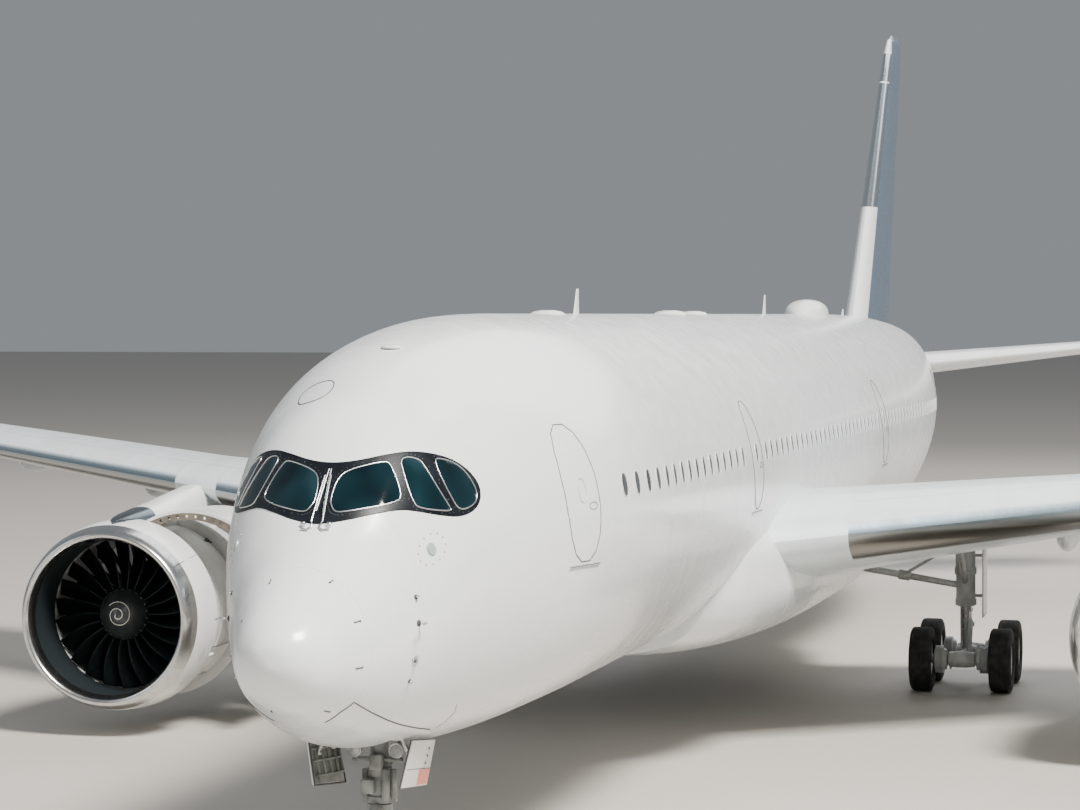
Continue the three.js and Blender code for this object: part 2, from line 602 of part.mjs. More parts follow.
const fanHubProfile = [
  [0.02, 21.42], [0.34, 21.62], [0.52, 21.8], [0.52, 22.36], [0.02, 22.36],
];
const fan = { blades: 22, tip: 1.492, root: 0.42, station: 22.0 };
const vanes = 6;
const cowlEdge = 12; // degrees from the top, at the pylon

// Pylon: half width, bottom and top at each station
const pylonTable = [
  { y: 21.95, halfWidth: 0.1, bottom: 4.0, top: 4.3 },
  { y: 22.2, halfWidth: 0.24, bottom: 3.85, top: 4.5 },
  { y: 22.8, halfWidth: 0.33, bottom: 3.7, top: 4.72 },
  { y: 24.1, halfWidth: 0.36, bottom: 3.0, top: 4.92 },
  { y: 25.6, halfWidth: 0.36, bottom: 2.95, top: 5.02 },
  { y: 27.2, halfWidth: 0.34, bottom: 2.9, top: 5.0 },
  { y: 29, halfWidth: 0.24, bottom: 3.35, top: 4.8 },
  { y: 31, halfWidth: 0.06, bottom: 3.95, top: 4.5 },
];

const pylonBody = (grow) => loft(pylonTable.map(({ y, halfWidth, bottom, top }) => {
  const [middle, halfHeight] = [(top + bottom) / 2, (top - bottom) / 2 + grow];
  return Array.from({ length: 12 }, (_, k) => {
    const angle = (2 * Math.PI * (k + 0.5)) / 12;
    const squared = (value) => Math.sign(value) * Math.abs(value) ** 0.55;
    const [across, up] = [Math.cos(angle), Math.sin(angle)].map(squared);
    return at(engineAxis.x + (halfWidth + grow) * across, y, middle + halfHeight * up);
  });
}));

// Half of the space round the engine, from the pylon's edge at the top to the seam at the bottom
const cowlHalf = (inboard) => {
  const turn = THREE.MathUtils.degToRad(cowlEdge);
  const outline = new THREE.Shape();
  const reach = 3 * M;
  outline.moveTo(clearance * M, -reach);
  outline.lineTo(clearance * M, 0);
  outline.lineTo(reach * Math.sin(turn), reach * Math.cos(turn));
  outline.lineTo(reach, reach * Math.cos(turn));
  outline.lineTo(reach, -reach);
  outline.closePath();
  const geometry = new THREE.ExtrudeGeometry(outline, { depth: 4 * M, bevelEnabled: false });
  geometry.rotateX(Math.PI / 2);
  const outboard = toSolid(geometry);
  const half = inboard ? outboard.mirror([1, 0, 0]) : outboard;
  return half.translate([engineAxis.x * M, (25 - length / 2) * M, engineAxis.z * M]);
};

const cowlHinge = (inboard) => {
  const turn = THREE.MathUtils.degToRad(cowlEdge);
  const radius = 1.88;
  const sign = inboard ? -1 : 1;
  return at(engineAxis.x + sign * radius * Math.sin(turn), 22, engineAxis.z + radius * Math.cos(turn));
};

// Hinge knuckles of the fan cowls by station, turn about on cowl and pylon arm
const cowlKnuckleRadius = 0.028;
const cowlKnuckles = [
  { from: 22.7, to: 22.84, onCowl: true },
  { from: 22.84, to: 23, onCowl: false },
  { from: 23, to: 23.14, onCowl: true },
];

const cowlKnuckle = (inboard, { from, to }, radius, grow) => {
  const place = (y) => cowlHinge(inboard).setY((y - length / 2) * M);
  return bar(place(from - grow), place(to + grow), radius, 8);
};

// The knuckles of one side of a hinge, and the notches that they need in the other side
const cowlKnucklesOf = (inboard, onCowl) => {
  const own = cowlKnuckles.filter((knuckle) => knuckle.onCowl === onCowl);
  return {
    knuckles: unite(own.map((each) => cowlKnuckle(inboard, each, cowlKnuckleRadius, -seam / 2))),
    notches: unite(own.map((each) => cowlKnuckle(inboard, each, cowlKnuckleRadius + clearance, seam / 2))),
  };
};

// Arms from the pylon's middle out to its knuckles
const cowlArms = (inboard) => unite(cowlKnuckles.filter(({ onCowl }) => !onCowl).map(({ from, to }) => {
  const place = cowlHinge(inboard).setY(((from + to) / 2 - length / 2) * M);
  return bar(place.clone().setX(engineAxis.x * M), place, 0.02, 6);
}));

// One blade of the fan, standing up from the axis, turned more towards its tip
const fanBlade = () => {
  const levels = [
    { radius: fan.root, chord: 0.4, pitch: 28 },
    { radius: fan.tip, chord: 0.46, pitch: 56 },
  ];
  return loft(levels.map(({ radius, chord, pitch }) => {
    const turn = THREE.MathUtils.degToRad(pitch);
    const outline = [[-chord / 2, 0], [0, 0.016], [chord / 2, 0], [0, -0.016]];
    return outline.map(([along, across]) => {
      const x = along * Math.sin(turn) + across * Math.cos(turn);
      const y = along * Math.cos(turn) - across * Math.sin(turn);
      return at(x, fan.station + y, Math.sqrt(radius ** 2 - x ** 2));
    });
  }));
};

const turned = (solid, degrees) => solid.rotate([0, degrees, 0]);

const aroundAxis = (make, count) => (
  Array.from({ length: count }, (_, i) => turned(make(), (360 * i) / count))
);

// The wing made a little larger below and ahead, for what meets its lower skin
const besideWing = (wing) => unite([
  wing, wing.translate([0, 0, -2 * seam * M]), wing.translate([0, -2 * seam * M, 0]),
]);

const buildEngines = (wing) => {
  const { x, z } = engineAxis;
  const place = [x * M, 0, z * M];
  const vane = () => block(at(-0.02, 22.95, 0.6), at(0.02, 23.45, 1.56));
  const cases = [revolve(coreProfile, 0, 0, 16), revolve(fanCaseProfile, 0, 0)];
  const core = unite([...cases, turned(unite(aroundAxis(vane, vanes)), 180 / vanes)]).translate(place);
  const hub = revolve(fanHubProfile, 0, 0, fan.blades);
  const fanSolid = unite([hub, ...aroundAxis(fanBlade, fan.blades)]).translate(place);
  const shrink = 2 * seam;
  const ring = (profile, first, last) => {
    const trimmed = profile.map(([radius, y]) => [radius, THREE.MathUtils.clamp(y, first, last)]);
    return revolve(trimmed, x, z);
  };
  const coreGrown = coreProfile.map(([radius, y]) => [radius + shrink, y + (y > 25 ? shrink : -shrink)]);
  const caseGrown = [
    [1.682, 21.9], [1.682, 22.202], [1.622, 22.302], [1.622, 23.902], [0.5, 23.902], [0.5, 21.9],
  ];
  const engineGrown = revolve(coreGrown, x, z, 16).add(revolve(caseGrown, x, z));
  const inletGrown = revolve([[1.9, 20], [1.9, 22 + shrink], [0.2, 22 + shrink], [0.2, 20]], x, z);
  const hinged = unite([pylonBody(0), ...[false, true].flatMap((inboard) => [
    cowlArms(inboard), cowlKnucklesOf(inboard, false).knuckles,
  ])]);
  const pylon = hinged.subtract(engineGrown).subtract(inletGrown).subtract(besideWing(wing));
  const cowls = ring(cowlProfile, 22.0 + clearance, 24.0 - clearance);
  const reverser = revolve(reverserProfile, x, z).subtract(pylonBody(shrink));
  const inlet = ring(inletProfile, 20, 22.0 - seam).subtract(pylonBody(shrink));
  for (const { side, word } of sides) {
    addPiece(`engine_inlet_${word}`, mirror(inlet, side), "whitePaint");
    addPiece(`engine_fan_${word}`, mirror(fanSolid, side), "fanMetal");
    addPiece(`engine_core_${word}`, mirror(core, side), "hotMetal");
    addPiece(`thrust_reverser_${word}`, mirror(reverser, side), "whitePaint");
    addPiece(`pylon_${word}`, mirror(pylon, side), "whitePaint");
    for (const inboard of [false, true]) {
      const panel = cowls.intersect(cowlHalf(inboard)).subtract(cowlKnucklesOf(inboard, false).notches);
      const door = panel.add(cowlKnucklesOf(inboard, true).knuckles);
      const hinge = cowlHinge(inboard);
      const open = side < 0 && inboard ? openCowlAngle : 0;
      const turnedDoor = turned(door.translate(hinge.clone().negate().toArray()), open);
      const moved = turnedDoor.translate(hinge.toArray());
      addPiece(`fan_cowl_${inboard ? "inboard" : "outboard"}_${word}`, mirror(moved, side), "whitePaint");
    }
  }
};

// Landing gear

const wheelSegments = 16;
const rimShare = 0.58;

// A tyre stands on one of its flats, so its corners lie a little outside its rolling radius
const tyre = (x, y, radius, width) => {
  const half = width / 2;
  const corner = radius / Math.cos(Math.PI / wheelSegments);
  const tread = [[0.78, -1], [0.95, -0.86], [1, -0.45], [1, 0.45], [0.95, 0.86], [0.78, 1]];
  const bead = radius * rimShare;
  const profile = [
    [bead, -half * 0.72],
    ...tread.map(([out, across]) => [corner * out, half * across]),
    [bead, half * 0.72],
  ];
  return acrossAxis(profile, x, y, radius, wheelSegments);
};

// A solid of revolution round an axis along X with a flat at its bottom; the profile is [radius, x]
const acrossAxis = (profile, x, y, z, segments) => {
  const closed = [...profile, profile[0]].map((point) => new THREE.Vector2(...point).multiplyScalar(M));
  const area = THREE.ShapeUtils.area(closed);
  const halfStep = Math.PI / segments;
  const geometry = new THREE.LatheGeometry(area > 0 ? closed : closed.reverse(), segments, halfStep);
  geometry.rotateZ(-Math.PI / 2);
  geometry.translate(...at(x, y, z));
  return toSolid(geometry);
};

// The bore that an axle runs in, whose flats clear the axle all round
const boreRound = (from, to, radius) => bar(from, to, (radius + seam) / Math.cos(Math.PI / 12), 12);

// Two rims on one axle; the rims fill the tyres and the axle runs in a bore between them
const wheelPair = (x, y, radius, width, twin, axleRadius) => {
  const rim = radius * rimShare - 2 * seam;
  const [inner, outer] = [(twin - width) / 2, (twin + width) / 2];
  const half = width / 2;
  const rightHalf = [
    [axleRadius, 0], [axleRadius, inner + 0.02], [rim, twin / 2 - half * 0.72],
    [rim, twin / 2 + half * 0.72], [0.02, outer - 0.02],
  ];
  const leftHalf = rightHalf.slice(1).map(([r, across]) => [r, -across]).reverse();
  return acrossAxis([...leftHalf, ...rightHalf], x, y, radius, wheelSegments);
};

const buildNoseGear = () => {
  const { tyreRadius: axle, tyreWidth, twin, axleRadius } = noseGear;
  const y = wheelbase.nose;
  const collar = 1.5;
  const leg = unite([
    bar(at(0, y, 3.34), at(0, y, collar), 0.15, 16),
    bar(at(-0.5592, y, 3.0), at(0.5592, y, 3.0), 0.1, 12),
    bar(at(0, y, 1.95), at(-0.4, y + 1.6, 3.05), 0.055, 8),
    bar(at(0, y, 1.95), at(0.4, y + 1.6, 3.05), 0.055, 8),
    bar(at(-0.42, y + 1.6, 3.05), at(0.42, y + 1.6, 3.05), 0.06, 8),
    bar(at(-0.3, y - 0.16, 2.12), at(0.3, y - 0.16, 2.12), 0.035, 8),
    bar(at(-0.3, y - 0.3, 2.12), at(-0.3, y - 0.12, 2.12), 0.13, 12),
    bar(at(0.3, y - 0.3, 2.12), at(0.3, y - 0.12, 2.12), 0.13, 12),
  ]);
  addPiece("nose_gear_leg", leg, "gearPaint");
  const bore = boreRound(at(-0.3, y, axle), at(0.3, y, axle), axleRadius);
  const fork = unite([
    bar(at(0, y, collar - 0.0006), at(0, y, collar - 0.24), 0.17, 16),
    bar(at(0, y, collar - 0.2), at(0, y, axle), 0.1, 12),
    bar(at(-0.13, y, axle), at(0.13, y, axle), 0.125, 12),
    block(at(-0.05, y - 0.3, axle - 0.05), at(0.05, y, axle + 0.05)),
    block(at(-0.06, y + 0.08, 0.82), at(0.06, y + 0.34, 0.9)),
    block(at(-0.06, y + 0.26, 0.82), at(0.06, y + 0.34, 1.4)),
    block(at(-0.06, y + 0.1, 1.32), at(0.06, y + 0.34, 1.4)),
  ]).subtract(bore);
  addPiece("nose_gear_steering", fork, "gearPaint");
  addPiece("nose_wheels", wheelPair(0, y, axle, tyreWidth, twin, axleRadius), "bareMetal");
  for (const { side, word } of sides) {
    addPiece(`nose_tyre_${word}`, tyre(side * (twin / 2), y, axle, tyreWidth), "rubber");
    const panel = block(at(0.575, 3.45, 1.55), at(0.6, 5.35, 2.36));
    const arm = block(at(0.52, 3.5, 2.31), at(0.58, 5.3, 2.35));
    const hingeArms = [3.7, 5.0].map((start) => block(at(0.5, start, 2.28), at(0.59, start + 0.1, 2.6)));
    const door = unite([panel, arm, ...hingeArms]).subtract(noseGrown());
    addPiece(`nose_gear_door_${word}`, mirror(door, side), "whitePaint");
  }
};

const noseGrown = () => {
  return fuselage(station.radomeJoint, station.noseEnd, -2 * seam).subtract(noseBaySpace(2 * seam));
};

const buildMainGear = (wing, body) => {
  const { track, tyreRadius: axle, tyreWidth, twin, axleSpacing, axleRadius } = mainGear;
  const [x, y] = [track / 2, wheelbase.main];
  const axles = [{ word: "front", y: y - axleSpacing / 2 }, { word: "rear", y: y + axleSpacing / 2 }];
  const legTop = at(x, y - 0.45, 3.78);
  const pivot = at(x, y, axle + 0.02);
  const bores = axles.map(({ y: along }) => {
    const ends = [at(x - 0.7, along, axle), at(x + 0.7, along, axle)];
    return boreRound(...ends, axleRadius);
  });
  const beam = unite([
    bar(at(x, axles[0].y, axle), at(x, axles[1].y, axle), 0.15, 10),
    ...axles.map((each) => bar(at(x - 0.3, each.y, axle), at(x + 0.3, each.y, axle), 0.18, 12)),
  ]);
  const lowerLeg = pivot.clone().lerp(legTop, 0.36);
  const stayFoot = pivot.clone().lerp(legTop, 0.5);
  const gear = unite([
    beam,
    bar(pivot, lowerLeg, 0.14, 12),
    bar(lowerLeg, legTop, 0.22, 14),
    bar(pivot.clone().setX(pivot.x - 0.22 * M), pivot.clone().setX(pivot.x + 0.22 * M), 0.19, 12),
    bar(stayFoot, at(2.6, y - 0.9, 2.75), 0.085, 8),
    bar(stayFoot, at(x, y - 2.6, 3.9), 0.075, 8),
    block(at(x - 0.07, y + 0.1, 0.95), at(x + 0.07, y + 0.5, 1.05)),
    block(at(x - 0.07, y + 0.4, 0.95), at(x + 0.07, y + 0.5, 1.72)),
    block(at(x - 0.07, y - 0.1, 1.62), at(x + 0.07, y + 0.5, 1.72)),
    block(at(x + 0.4, y - 0.75, 1.6), at(x + 0.45, y + 0.15, 3.35)),
    block(at(x + 0.1, y - 0.5, 2.0), at(x + 0.42, y - 0.1, 2.1)),
    block(at(x + 0.1, y - 0.6, 2.9), at(x + 0.42, y - 0.2, 3.0)),
  ]).subtract(unite(bores)).subtract(besideWing(wing));
  for (const { side, word } of sides) {
    addPiece(`main_gear_leg_${word}`, mirror(gear, side).subtract(body), "gearPaint");
    for (const each of axles) {
      const wheels = wheelPair(x, each.y, axle, tyreWidth, twin, axleRadius);
      addPiece(`main_wheels_${each.word}_${word}`, mirror(wheels, side), "bareMetal");
      for (const [place, offset] of Object.entries({ outer: twin / 2, inner: -twin / 2 })) {
        const solid = mirror(tyre(x + offset, each.y, axle, tyreWidth), side);
        addPiece(`main_tyre_${each.word}_${place}_${word}`, solid, "rubber");
      }
    }
  }
};

buildFuselage();
const bodyGrown = fuselage(0, length, -2 * seam).add(fairing(2 * seam));
const fairingSolid = fairing(0).subtract(fuselage(0, length, -2 * seam));
addPiece("belly_fairing", fairingSolid, "whitePaint");
const wings = buildWings(bodyGrown);
buildTail(bodyGrown);
buildEngines(wings);
buildNoseGear();
buildMainGear(wings, bodyGrown);

export default aircraft;
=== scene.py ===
import math

import bmesh
import bpy
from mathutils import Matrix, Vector


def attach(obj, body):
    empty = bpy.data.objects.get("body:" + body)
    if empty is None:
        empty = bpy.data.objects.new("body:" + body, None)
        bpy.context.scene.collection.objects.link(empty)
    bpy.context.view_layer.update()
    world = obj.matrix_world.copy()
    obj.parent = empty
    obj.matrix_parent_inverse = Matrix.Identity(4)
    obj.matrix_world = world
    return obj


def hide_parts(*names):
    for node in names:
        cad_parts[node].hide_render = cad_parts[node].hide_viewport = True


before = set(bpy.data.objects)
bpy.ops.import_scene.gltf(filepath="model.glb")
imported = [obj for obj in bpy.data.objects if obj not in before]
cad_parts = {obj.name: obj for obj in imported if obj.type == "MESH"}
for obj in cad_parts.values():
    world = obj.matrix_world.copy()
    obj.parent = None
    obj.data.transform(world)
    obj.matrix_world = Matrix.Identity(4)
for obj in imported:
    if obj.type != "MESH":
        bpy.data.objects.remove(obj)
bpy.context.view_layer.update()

# Sizes in the dictionaries are metres of the full-size aircraft, along x (port), y (from the nose tip) and z.
# place() turns them into the half-size model, whose middle of length is at y = 0.
half = 0.5
midLength = 33.4


sides = ((1, "port"), (-1, "starboard"))


def place(x, y, z):
    return Vector((x * half, (y - midLength) * half, z * half))


def placed(points):
    return [place(*point) for point in points]


# A profile of full-size pairs at the model's size
def halved(pairs):
    return [(along * half, radius * half) for along, radius in pairs]


# The angles of a circle in equal steps
def circle(count, shift=0.0):
    return [2 * math.pi * (k + shift) / count for k in range(count)]


# Working in edit mode

def deselectAll():
    if bpy.context.object and bpy.context.object.mode != "OBJECT":
        bpy.ops.object.mode_set(mode="OBJECT")
    bpy.ops.object.select_all(action="DESELECT")


def workOn(piece, edit=False):
    deselectAll()
    piece.select_set(True)
    bpy.context.view_layer.objects.active = piece
    if edit:
        bpy.ops.object.mode_set(mode="EDIT")


def editMesh():
    mesh = bmesh.from_edit_mesh(bpy.context.object.data)
    mesh.verts.ensure_lookup_table()
    return mesh


def selectLast(count, test=None):
    mesh = editMesh()
    for vert in mesh.verts:
        vert.select = False
    mesh.select_flush(False)
    for vert in mesh.verts[-count:]:
        vert.select = test is None or test(vert.co)
    mesh.select_flush(True)
    bmesh.update_edit_mesh(bpy.context.object.data)


# Back to object mode, with the faces looking outwards
def leaveEdit():
    bpy.ops.mesh.select_all(action="SELECT")
    bpy.ops.mesh.normals_make_consistent(inside=False)
    bpy.ops.object.mode_set(mode="OBJECT")


def smooth(piece, degrees=35):
    workOn(piece)
    bpy.ops.object.shade_smooth_by_angle(angle=math.radians(degrees))
    return piece


def applyPlace(piece):
    workOn(piece)
    bpy.ops.object.transform_apply(location=True, rotation=True, scale=True)
    return piece


def addModifier(piece, kind, **settings):
    workOn(piece)
    modifier = piece.modifiers.new(kind.lower(), kind)
    for key, value in settings.items():
        setattr(modifier, key, value)
    bpy.ops.object.modifier_apply(modifier=modifier.name)
    return piece


def remove(*pieces):
    for piece in pieces:
        mesh = piece.data
        bpy.data.objects.remove(piece)
        bpy.data.meshes.remove(mesh)


def cut(piece, *cutters, operation="DIFFERENCE", keep=False):
    for cutter in cutters:
        addModifier(piece, "BOOLEAN", object=cutter, operation=operation, solver="EXACT")
        if not keep:
            remove(cutter)
    return piece


def inScene(name, data):
    holder = bpy.data.objects.new(name, data)
    bpy.context.scene.collection.objects.link(holder)
    return holder


def copyOf(piece, name, shift=(0, 0, 0)):
    twin = piece.copy()
    twin.data = piece.data.copy()
    twin.name = name
    bpy.context.scene.collection.objects.link(twin)
    if any(shift):
        twin.location = Vector(shift)
        applyPlace(twin)
    return twin


def mirrorOf(piece, name):
    twin = copyOf(piece, name)
    workOn(twin, edit=True)
    bpy.ops.mesh.select_all(action="SELECT")
    bpy.ops.transform.mirror(constraint_axis=(True, False, False), center_override=(0, 0, 0))
    leaveEdit()
    return twin


# A piece turned into its own mirror image
def flipped(piece):
    name = piece.name
    twin = mirrorOf(piece, name + "_m")
    remove(piece)
    twin.name = name
    return twin


def joined(name, pieces):
    workOn(pieces[0])
    for piece in pieces[1:]:
        piece.select_set(True)
    bpy.ops.object.join()
    whole = bpy.context.object
    whole.name = name
    return whole


# Shapes that the pieces start from

def startRing(name, centre, direction, radius, points):
    deselectAll()
    turn = Vector((0, 0, 1)).rotation_difference(Vector(direction)).to_euler()
    bpy.ops.mesh.primitive_circle_add(vertices=points, radius=radius, location=centre, rotation=turn)
    ring = bpy.context.object
    ring.name = name
    applyPlace(ring)
    bpy.ops.object.mode_set(mode="EDIT")
    bpy.ops.mesh.select_mode(type="VERT")
    bpy.ops.mesh.select_all(action="SELECT")
    return ring


def closeUp(piece):
    bpy.ops.mesh.select_all(action="SELECT")
    bpy.ops.mesh.fill_holes(sides=0)
    leaveEdit()
    return piece


# A round piece drawn by its profile: (along, radius) pairs in metres of the model
def turned(name, centre, direction, profile, points=64, closed=False, degrees=35):
    axis = Vector(direction).normalized()
    centre = Vector(centre)
    piece = startRing(name, centre + axis * profile[0][0], axis, profile[0][1], points)
    for (along, radius), (nextAlong, nextRadius) in zip(profile, profile[1:]):
        bpy.ops.mesh.extrude_region_move(
            TRANSFORM_OT_translate={"value": tuple(axis * (nextAlong - along))})
        grow = nextRadius / radius
        bpy.ops.transform.resize(value=(grow, grow, grow), center_override=tuple(centre + axis * nextAlong))
    if closed:
        bpy.ops.mesh.select_all(action="DESELECT")
        bpy.ops.mesh.select_non_manifold()
        bpy.ops.mesh.bridge_edge_loops()
    return smooth(closeUp(piece), degrees)


def block(name, low, high):
    deselectAll()
    low, high = Vector(low), Vector(high)
    bpy.ops.mesh.primitive_cube_add(size=1, location=(low + high) / 2, scale=high - low)
    piece = bpy.context.object
    piece.name = name
    return applyPlace(piece)


# A flat outline through the given corners, drawn out along a direction, in full-size metres
def prism(name, corners, draw):
    deselectAll()
    corners = placed(corners)
    bpy.ops.mesh.primitive_circle_add(vertices=len(corners), radius=1, fill_type="NGON")
    piece = bpy.context.object
    piece.name = name
    workOn(piece, edit=True)
    for i, corner in enumerate(corners):
        mesh = editMesh()
        start = mesh.verts[i].co.copy()
        for vert in mesh.verts:
            vert.select = vert.index == i
        mesh.select_flush_mode()
        bmesh.update_edit_mesh(piece.data)
        bpy.ops.transform.translate(value=tuple(corner - start))
    bpy.ops.mesh.select_all(action="SELECT")
    bpy.ops.mesh.extrude_region_move(TRANSFORM_OT_translate={"value": tuple(Vector(draw) * half)})
    leaveEdit()
    return piece


# A skin through rings of points in full-size metres, the same count in each, with closed ends
def lofted(name, rings, degrees=35):
    count = len(rings[0])
    piece = startRing(name, (0, 0, 0), (0, 1, 0), 0.1, count)
    order = list(range(count))
    for ring in rings[1:]:
        bpy.ops.mesh.extrude_region_move(TRANSFORM_OT_translate={"value": (0, 0.01, 0)})
        mesh = editMesh()
        known = len(mesh.verts) - count
        for i in order[-count:]:
            order.append(next(edge.other_vert(mesh.verts[i]).index for edge in mesh.verts[i].link_edges
                              if edge.other_vert(mesh.verts[i]).index >= known))
    points = placed([point for ring in rings for point in ring])
    for i, point in zip(order, points):
        mesh.verts[i].co = point
    bmesh.update_edit_mesh(piece.data)
    return smooth(closeUp(piece), degrees)


# A round bar with eased ends
def rod(name, start, end, radius, points=14, ease=0.25):
    start, end = place(*start), place(*end)
    reach, size = (end - start).length, radius * half
    soft = min(size * ease, reach / 3)
    profile = [(0, size - soft), (soft, size), (reach - soft, size), (reach, size - soft)]
    return turned(name, start, end - start, profile, points, degrees=50)


# A box with eased edges, between two corners in full-size metres
def slab(name, low, high, ease=0.01):
    piece = block(name, place(*low), place(*high))
    addModifier(piece, "BEVEL", width=ease * half, segments=2, limit_method="ANGLE")
    return smooth(piece, 50)


# Round beads that follow points in full-size metres
def threads(name, paths, radius, closed=True, rounds=2):
    curve = bpy.data.curves.new(name, "CURVE")
    curve.dimensions = "3D"
    curve.bevel_depth = radius * half
    curve.bevel_resolution = rounds
    curve.use_fill_caps = not closed
    for path in paths:
        spline = curve.splines.new("POLY")
        spline.points.add(len(path) - 1)
        for knot, point in zip(spline.points, placed(path)):
            knot.co = (*point, 1)
        spline.use_cyclic_u = closed
    workOn(inScene(name, curve))
    bpy.ops.object.convert(target="MESH")
    piece = bpy.context.object
    piece.name = name
    return smooth(piece, 60)


# A closed solid of revolution about an engine's axis; the profile is (radius, station)
def lathed(name, x, z, profile, points):
    pairs = halved([(y - midLength, radius) for radius, y in profile])
    return turned(name, place(x, midLength, z), (0, 1, 0), pairs, points, closed=True)


# More points on a profile, along a smooth curve through the given ones
def eased(profile, steps=5):
    fine = []
    last = len(profile) - 1
    for i in range(last):
        p = [Vector(profile[max(0, min(last, i + k))]) for k in (-1, 0, 1, 2)]
        for step in range(steps):
            t = step / steps
            fine.append(tuple(0.5 * (2 * p[1] + (p[2] - p[0]) * t + (2 * p[0] - 5 * p[1] + 4 * p[2] - p[3]) * t * t
                                     + (3 * p[1] - p[0] - 3 * p[2] + p[3]) * t ** 3)))
    return fine + [tuple(profile[-1])]


# An outline with its corners cut to a curve
def rounded(outline, times=2):
    outline = [Vector(corner) for corner in outline]
    for turn in range(times):
        pairs = zip(outline, outline[1:] + outline[:1])
        outline = [corner for a, b in pairs for corner in (a * 0.75 + b * 0.25, a * 0.25 + b * 0.75)]
    return outline


def rectangle(centre, width, height):
    (u, v), a, b = centre, width / 2, height / 2
    return [(u - a, v - b), (u + a, v - b), (u + a, v + b), (u - a, v + b)]


# More points along each edge of an outline
def refined(outline, pitch):
    fine = []
    for a, b in zip(outline, outline[1:] + outline[:1]):
        a, b = Vector(a), Vector(b)
        steps = max(1, math.ceil((b - a).length / pitch))
        fine += [a.lerp(b, i / steps) for i in range(steps)]
    return fine


# Materials

def newMaterial(name, colour, roughness, metallic=0.0, **sockets):
    material = bpy.data.materials.new(name)
    material.use_nodes = True
    shader = material.node_tree.nodes["Principled BSDF"]
    shader.inputs["Base Color"].default_value = (*colour, 1)
    shader.inputs["Roughness"].default_value = roughness
    shader.inputs["Metallic"].default_value = metallic
    for key, value in sockets.items():
        shader.inputs[key.replace("_", " ")].default_value = value
    return material


def addNode(material, kind, values=None, **settings):
    node = material.node_tree.nodes.new("ShaderNode" + kind)
    for key, value in settings.items():
        setattr(node, key, value)
    for key, value in (values or {}).items():
        if isinstance(value, bpy.types.NodeSocket):
            material.node_tree.links.new(value, node.inputs[key])
        else:
            node.inputs[key].default_value = value
    return node


def plug(material, output, socketName):
    shader = material.node_tree.nodes["Principled BSDF"]
    material.node_tree.links.new(output, shader.inputs[socketName])


def maths(material, operation, *values):
    return addNode(material, "Math", dict(enumerate(values)), operation=operation).outputs[0]


def times(material, first, second):
    return maths(material, "MULTIPLY", first, second)


def objectPoint(material, stretch=(1, 1, 1)):
    coordinate = addNode(material, "TexCoord").outputs["Object"]
    return addNode(material, "Mapping", {"Vector": coordinate, "Scale": stretch}).outputs[0]


def noise(material, scale, detail=4.0, stretch=(1, 1, 1), roughness=0.55):
    point = objectPoint(material, stretch)
    values = {"Vector": point, "Scale": scale, "Detail": detail, "Roughness": roughness}
    return addNode(material, "TexNoise", values).outputs[0]


def ramp(material, value, stops):
    node = addNode(material, "ValToRGB", {"Fac": value})
    elements = node.color_ramp.elements
    while len(elements) < len(stops):
        elements.new(0.5)
    for element, (position, colour) in zip(elements, stops):
        element.position = position
        element.color = (*colour, 1) if isinstance(colour, tuple) else (colour, colour, colour, 1)
    return node.outputs[0]


def mix(material, factor, first, second):
    values = {0: factor}
    for index, value in ((6, first), (7, second)):
        values[index] = (*value, 1) if isinstance(value, tuple) else value
    return addNode(material, "Mix", values, data_type="RGBA").outputs[2]


def bump(material, height, strength, distance):
    values = {"Height": height, "Strength": strength, "Distance": distance}
    plug(material, addNode(material, "Bump", values).outputs[0], "Normal")


# Thin lines across one axis at a steady pitch: 1 on the line, 0 between lines
def lines(material, axis, pitch, width):
    coordinate = addNode(material, "TexCoord").outputs["Object"]
    along = addNode(material, "SeparateXYZ", {0: coordinate}).outputs[axis]
    wave = maths(material, "PINGPONG", along, pitch / 2)
    return maths(material, "LESS_THAN", wave, width / 2)


paint = {
    "white": (0.80, 0.83, 0.84),
    "whiteDull": (0.70, 0.72, 0.71),
    "joint": (0.36, 0.37, 0.37), "jointWidth": 0.0035,
    "blue": (0.085, 0.125, 0.18),
    "wing": (0.71, 0.78, 0.82),
    "wingDull": (0.58, 0.62, 0.64),
}


# A colour that varies in soft patches: scale, detail and stretch of the patches, and the ramp's stops
def mottled(name, colour, roughness, patches, stops, **sockets):
    material = newMaterial(name, colour, roughness, **sockets)
    plug(material, ramp(material, noise(material, *patches), stops), "Base Color")
    return material


# Paint with faint joints, dull streaks along the airflow and a little orange peel
def paintedSkin(name, clean, dull, roughness, jointPitch=0.0, jointAxis=1, grime=0.5):
    material = newMaterial(name, clean, roughness, Coat_Weight=0.35, Coat_Roughness=0.12)
    broad = noise(material, 0.35, 6, (1, 0.3, 1))
    streaks = noise(material, 2.2, 8, (2.0, 0.12, 2.0), 0.6)
    wear = times(material, maths(material, "ADD", broad, streaks), 0.5)
    colour = mix(material, ramp(material, wear, [(0.42, 0.0), (0.72, grime)]), clean, dull)
    if jointPitch:
        joint = lines(material, jointAxis, jointPitch, paint["jointWidth"])
        colour = mix(material, times(material, joint, 0.35), colour, paint["joint"])
    plug(material, colour, "Base Color")
    gloss = ramp(material, noise(material, 5, 5), [(0.3, roughness * 0.8), (0.75, roughness * 1.35)])
    plug(material, gloss, "Roughness")
    bump(material, noise(material, 55, 3), 0.02, 0.002)
    return material


def brushedMetal(name, bright, dark, roughness, stretch, scale=30):
    material = newMaterial(name, bright, roughness, 1.0)
    grain = noise(material, scale, 6, stretch, 0.65)
    plug(material, ramp(material, grain, [(0.25, dark), (0.7, bright)]), "Base Color")
    plug(material, ramp(material, grain, [(0.2, roughness * 1.5), (0.8, roughness * 0.75)]), "Roughness")
    bump(material, grain, 0.05, 0.001)
    return material


